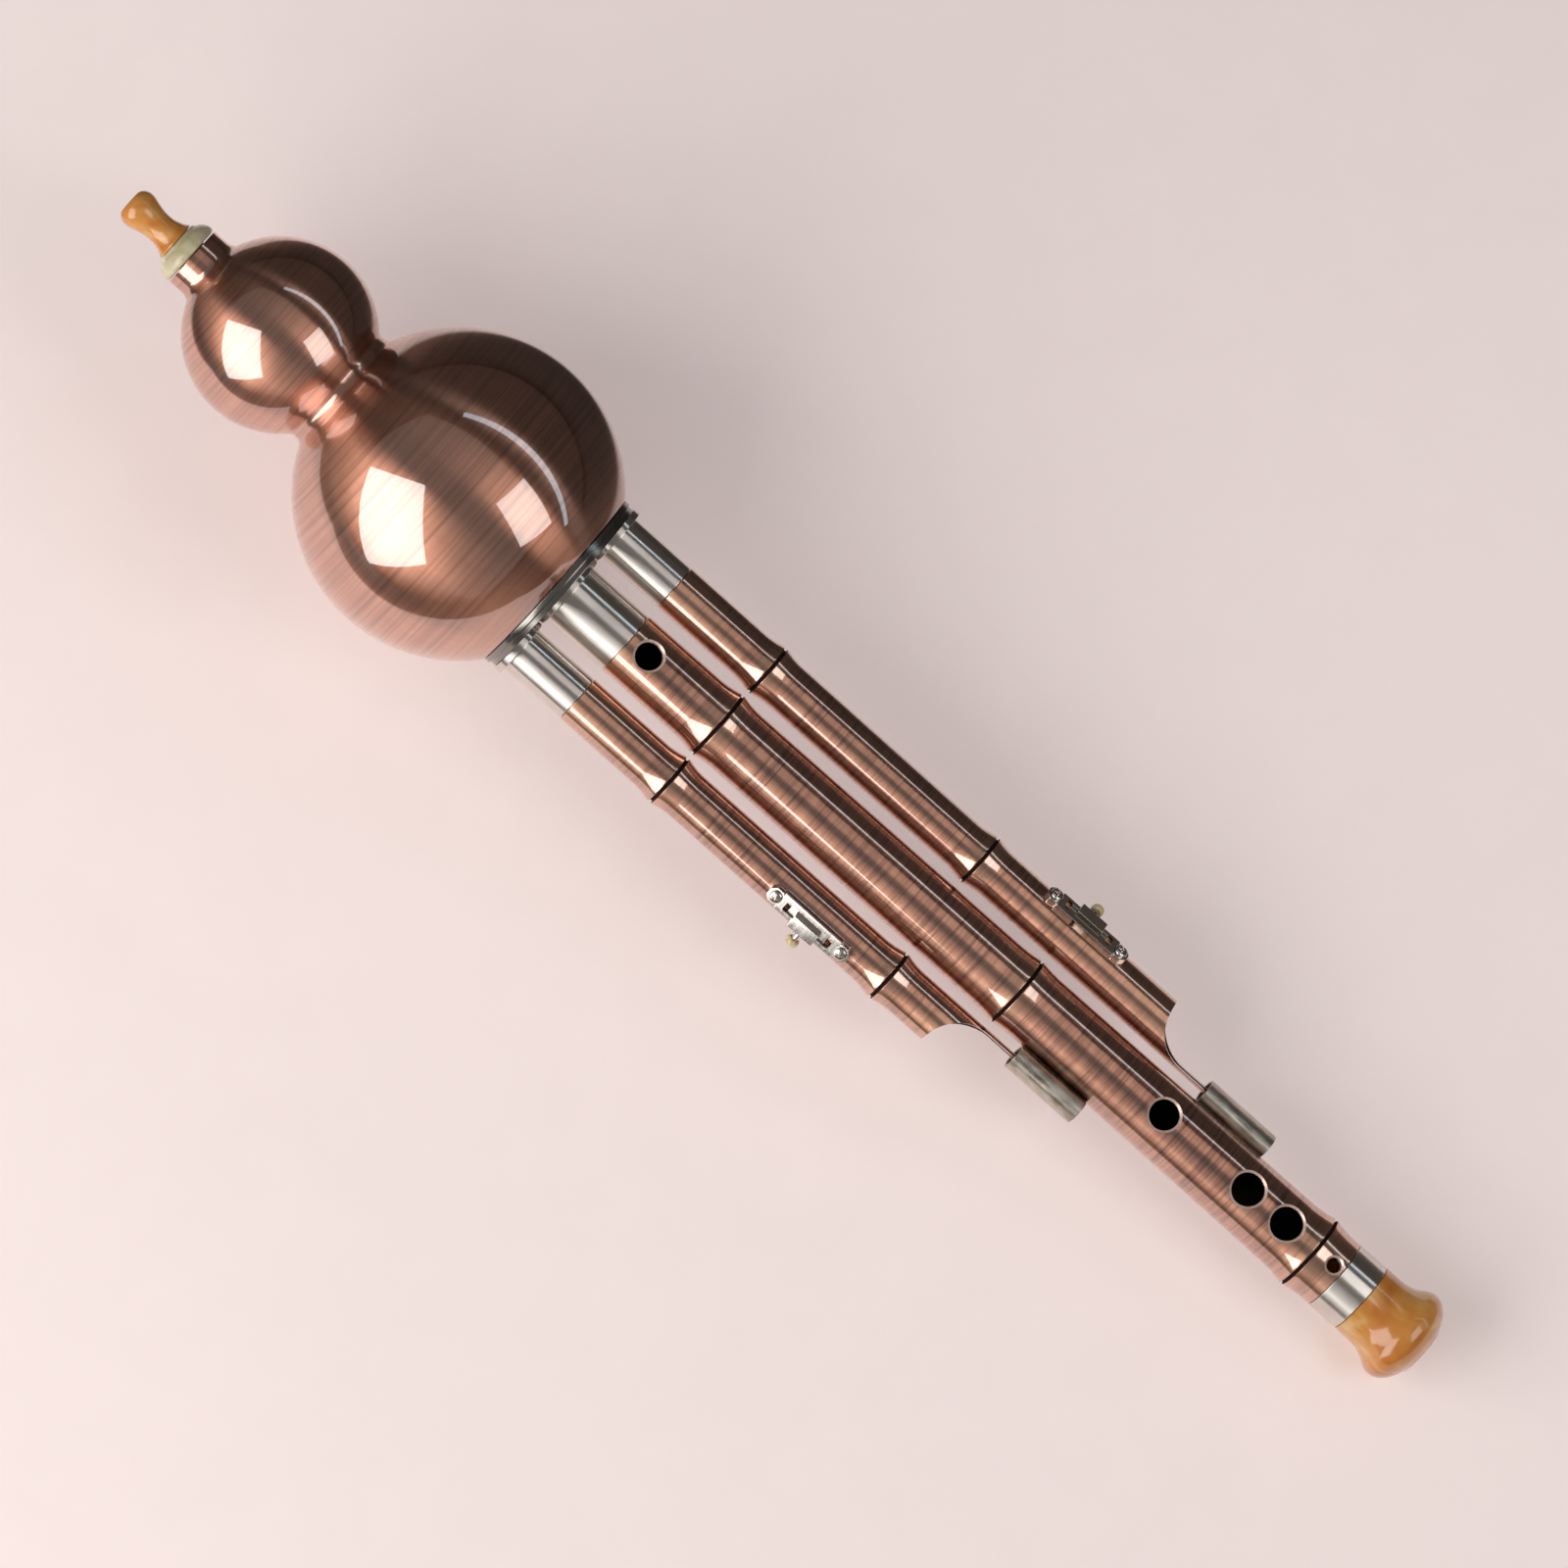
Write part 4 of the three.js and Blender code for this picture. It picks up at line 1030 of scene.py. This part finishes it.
bell = metres(mouthRadius=5.9, mouthDepth=3.0, wall=1.9, fit=0.3, rimOuter=0.9, rimInner=0.25,
              rimRound=0.3)
bandEdge = 0.2 * mm
bellOutline = [(0.0, 9.84), (4.4, 9.87), (6.1, 10.0), (7.4, 10.25), (8.8, 10.75), (10.3, 11.6),
               (11.7, 12.5), (13.0, 12.93), (14.6, 12.9), (16.0, 12.3), (17.4, 11.1), (18.4, 9.8),
               (19.1, 8.5), (19.6, 7.3)]


def makeTail():
    startX, endX, radius = stations("tail_collar")
    band = turnPiece("tailCollar", tubeOutline(startX, endX, radius, bores["main"]), sides["tail"],
                     bandEdge, chrome, segments=3)
    layDown(band, atSide(), "middle_pipe", "tail_collar")
    spigotX, bellEnd, _ = stations("bell")
    bellX = endX + flange["fineGap"]
    spigotRadius = bores["main"] - bell["fit"]
    boreRadius = spigotRadius - bell["wall"]
    size = (halfWidth("bell") - inset) / (max(r for _, r in bellOutline) * mm)
    outside = [(x, r * size) for x, r in smoothThrough(scaledOutline(bellOutline, bellX))]
    mouth = bell["mouthRadius"]
    piece = turnOutline("resinBell", [
        (spigotX, spigotRadius), (bellX, spigotRadius), *outside, (bellEnd, mouth + bell["rimOuter"]),
        (bellEnd, mouth + bell["rimInner"]), (bellEnd - bell["rimRound"], mouth),
        (bellEnd - bell["mouthDepth"], boreRadius), (spigotX, boreRadius)], sides["tail"])
    giveMaterials(piece, amber)
    hole = mainStart + mainPipe["cordShare"] * mainLength
    cutWith(piece, holeCutter([(spigotX, spigotRadius), (bellX, spigotRadius)], hole,
                              mainPipe["cordHole"], holeRim["plain"]))
    layDown(piece, atSide(), "middle_pipe", "bell")


makeTail()
print("tail ready")

# Slide locks. They are drawn over the drone's axis with the thumb button on the +y side.

lock = metres(plateHeight=1.95, plateThickness=0.7, plateHalfWidth=2.65, skirt=0.6, earHalf=2.3,
              windowHalf=7.4, windowInner=1.2, windowOuter=1.6, channelHalf=8.6, runnerHalf=5.9,
              fineGap=0.15, padThickness=0.37, blockHalf=3.95, blockWidth=3.6, blockThickness=0.65,
              lipGap=0.25, lip=0.7, stemRadius=0.9, stemRise=0.95, exposed=2.1, seated=1.2,
              buttonRadius=1.75, buttonLength=2.2, headRadius=1.7, headHeight=0.8, shank=0.75,
              sideGap=0.2, plateEdge=0.28, windowRound=0.5, slideEdge=0.12, capEdge=0.22,
              bridgeGap=0.3, overlap=0.1, screwPast=0.6, screwPoint=0.3, slotHalf=1.1,
              slotHalfWidth=0.21)
slotTurn = math.radians(20)
# In shares of the button's length and radius, and of the screw head's height and radius
buttonOutline = [(0, 0.78), (0.12, 0.94), (0.3, 1), (0.6, 1), (0.82, 0.86), (0.95, 0.58), (1, 0.2)]
crownOutline = [(0, 1), (0.35, 0.99), (0.7, 0.84), (0.93, 0.5), (1, 0.15)]
plateTop = droneTube["radius"] + lock["plateHeight"]
plateRoof = plateTop - lock["plateThickness"]
runnerFloor = droneTube["radius"] + lock["fineGap"] + lock["padThickness"] + lock["fineGap"]
capFloor = plateTop + lock["fineGap"]
lipInner = lock["plateHalfWidth"] + lock["lipGap"]
blockOuter = lipInner + lock["lip"]
stemHeight = droneTube["radius"] + lock["stemRise"]


def addBlock(name, fromX, toX, fromY, toY, fromZ, toZ):
    bpy.ops.mesh.primitive_cube_add(size=1)
    block = named(name)
    block.scale = (toX - fromX, toY - fromY, toZ - fromZ)
    block.location = ((fromX + toX) / 2, (fromY + toY) / 2, (fromZ + toZ) / 2)
    bpy.ops.object.transform_apply()
    return block


def platePlan():
    half = screwSpacing / 2
    flat = lock["earHalf"] * math.tan(math.pi / 8)
    ear, wide = lock["earHalf"], lock["plateHalfWidth"]
    endX = lock["channelHalf"] + lock["skirt"]
    notchY = flat + endX - (half - ear)
    upper = [(endX, wide), (endX, notchY), (half - flat, ear), (half + flat, ear),
             (half + ear, flat)]
    right = upper + [(x, -y) for x, y in reversed(upper)]
    return right + [(-x, -y) for x, y in right]


def makeLockPlate(drone):
    half = screwSpacing / 2
    piece = extrudeOutline("lockPlate", platePlan(), bores["long"], plateTop)
    bevelEdges(piece, lock["plateEdge"], segments=3)
    giveMaterials(piece, lockChrome)
    channelY = lock["plateHalfWidth"] - lock["skirt"]
    cutWith(piece, addBlock("channel", -lock["channelHalf"], lock["channelHalf"], -channelY, channelY,
                            0, plateRoof))
    window = addBlock("window", -lock["windowHalf"], lock["windowHalf"], -lock["windowInner"],
                      lock["windowOuter"], plateRoof - mm, plateTop + mm)
    bevelEdges(window, lock["windowRound"], segments=4)
    cutWith(piece, window)
    startX, endX, _ = droneLength(drone)
    seat = turnOutline("seatCutter", [(startX, 0), *droneOutline(drone, lock["fineGap"]), (endX, 0)])
    seat.location.x = -lockPlace(drone)
    cutWith(piece, seat)
    for x in (-half, half):
        hole = turnOutline("screwHole", rodOutline(0, 2 * plateTop, droneTube["screwHole"]),
                           sides["stem"])
        hole.rotation_euler.y = -math.pi / 2
        hole.location.x = x
        cutWith(piece, hole)
    return piece


def makeLockSlide():
    channelY = lock["plateHalfWidth"] - lock["skirt"] - lock["sideGap"]
    half, roof = lock["blockHalf"], plateRoof - lock["fineGap"]
    innerY = blockOuter - lock["blockWidth"]
    runner = addBlock("lockSlide", -lock["runnerHalf"], lock["runnerHalf"], -channelY, channelY,
                      bores["long"], roof)
    bevelEdges(runner, lock["slideEdge"])
    giveMaterials(runner, lockChrome)
    cutWith(runner, turnOutline("seatCutter", rodOutline(-2 * half, 2 * half, runnerFloor)))
    cutWith(runner, addBlock("bridge", -half, half, innerY, lock["windowOuter"] - lock["bridgeGap"],
                             roof - lock["overlap"], capFloor + lock["overlap"]), "UNION")
    top = capFloor + lock["blockThickness"]
    lipFoot = stemHeight - lock["stemRadius"]
    cap = extrudeOutline("cap", [
        (capFloor, innerY), (capFloor, lipInner), (lipFoot, lipInner), (lipFoot, blockOuter),
        (top, blockOuter), (top, innerY)], -half, half)
    bevelEdges(cap, lock["capEdge"], segments=3)
    cap.matrix_world = Matrix(((0, 0, 1, 0), (0, 1, 0, 0), (1, 0, 0, 0), (0, 0, 0, 1)))
    selectOnly(cap)
    bpy.ops.object.transform_apply()
    editMode()
    finishMesh()
    cutWith(runner, cap, "UNION")
    stemEnd = blockOuter + lock["exposed"] + lock["seated"]
    stem = turnOutline("stem", rodOutline(lipInner + lock["overlap"], stemEnd, lock["stemRadius"]),
                       sides["stem"])
    stem.rotation_euler.z = math.pi / 2
    stem.location.z = stemHeight
    cutWith(runner, stem, "UNION")
    return runner


def makeThumbButton():
    radius, length = lock["buttonRadius"], lock["buttonLength"]
    hole, depth = lock["stemRadius"] + lock["fineGap"], lock["seated"] + lock["fineGap"]
    outside = smoothThrough([(x * length, r * radius) for x, r in buttonOutline])
    piece = turnOutline("lockButton", [(depth, 0), (depth, hole), (0, hole), *outside, (length, 0)],
                        sides["button"])
    piece.rotation_euler.z = math.pi / 2
    piece.location = (0, blockOuter + lock["exposed"], stemHeight)
    bpy.ops.object.transform_apply()
    giveMaterials(piece, amberButton)
    return piece


def makeLockScrew():
    radius, height = lock["headRadius"], lock["headHeight"]
    headZ = plateTop + lock["fineGap"]
    tipZ = bores["long"] - lock["screwPast"]
    crown = smoothThrough([(headZ + z * height, r * radius) for z, r in crownOutline], 4)
    piece = turnOutline("lockScrew", [
        (tipZ, 0), (tipZ + lock["screwPoint"], lock["shank"]), (headZ, lock["shank"]), *crown,
        (headZ + height, 0)], sides["screw"])
    piece.rotation_euler.y = -math.pi / 2
    bpy.ops.object.transform_apply()
    giveMaterials(piece, lockChrome)
    for turn in (0.0, math.pi / 2):
        slot = addBlock("crossSlot", -lock["slotHalf"], lock["slotHalf"], -lock["slotHalfWidth"],
                        lock["slotHalfWidth"], headZ + 0.3 * height, headZ + 2 * height)
        slot.rotation_euler.z = turn + slotTurn
        cutWith(piece, slot)
    return piece


def copyOf(piece, name):
    copied = bpy.data.objects.new(name, piece.data.copy())
    copied.data.name = name
    scene.collection.objects.link(copied)
    return copied


def makeLocks():
    slide, button, screw = makeLockSlide(), makeThumbButton(), makeLockScrew()
    for drone in drones:
        name, side = drone["name"], drone["side"]
        place = atSide(side * droneSpacing) @ Matrix.Translation((lockPlace(drone), 0, 0))
        place = place @ Matrix.Rotation(-side * lockTurn, 4, "X")
        if side < 0:
            place = place @ Matrix.Rotation(math.pi, 4, "Z")
        plate = makeLockPlate(drone)
        plate.name = plate.data.name = name + "LockPlate"
        layDown(plate, place, name + "_drone", name + "_lock_plate")
        for part, source, slot in (("slide", slide, "chrome"), ("button", button, "amber_resin")):
            layDown(copyOf(source, name + "Lock" + part.title()), place, name + "_lock",
                    name + "_lock_" + part)
        for part, x in (("front", -side * screwSpacing / 2), ("rear", side * screwSpacing / 2)):
            layDown(copyOf(screw, name + "LockScrew" + part.title()),
                    place @ Matrix.Translation((x, 0, 0)), name + "_drone",
                    name + "_lock_screw_" + part)
    for source in (slide, button, screw):
        bpy.data.objects.remove(source)


makeLocks()
print("locks ready")

# Pieces kept from the CAD, which lie inside

kept = {
    reedCopper: [name + "_reed_tube" for name in places],
    brass: [name + "_reed_plate" for name in places],
    corkWood: ["mouthpiece_cork", *[name + "_reed_bush" for name in places]],
    felt: ["long_lock_pad", "short_lock_pad"],
}
for material, nodes in kept.items():
    for node in nodes:
        for slotOfNode in frame["nodes"][node].material_slots:
            slotOfNode.material = material

print("all pieces ready")
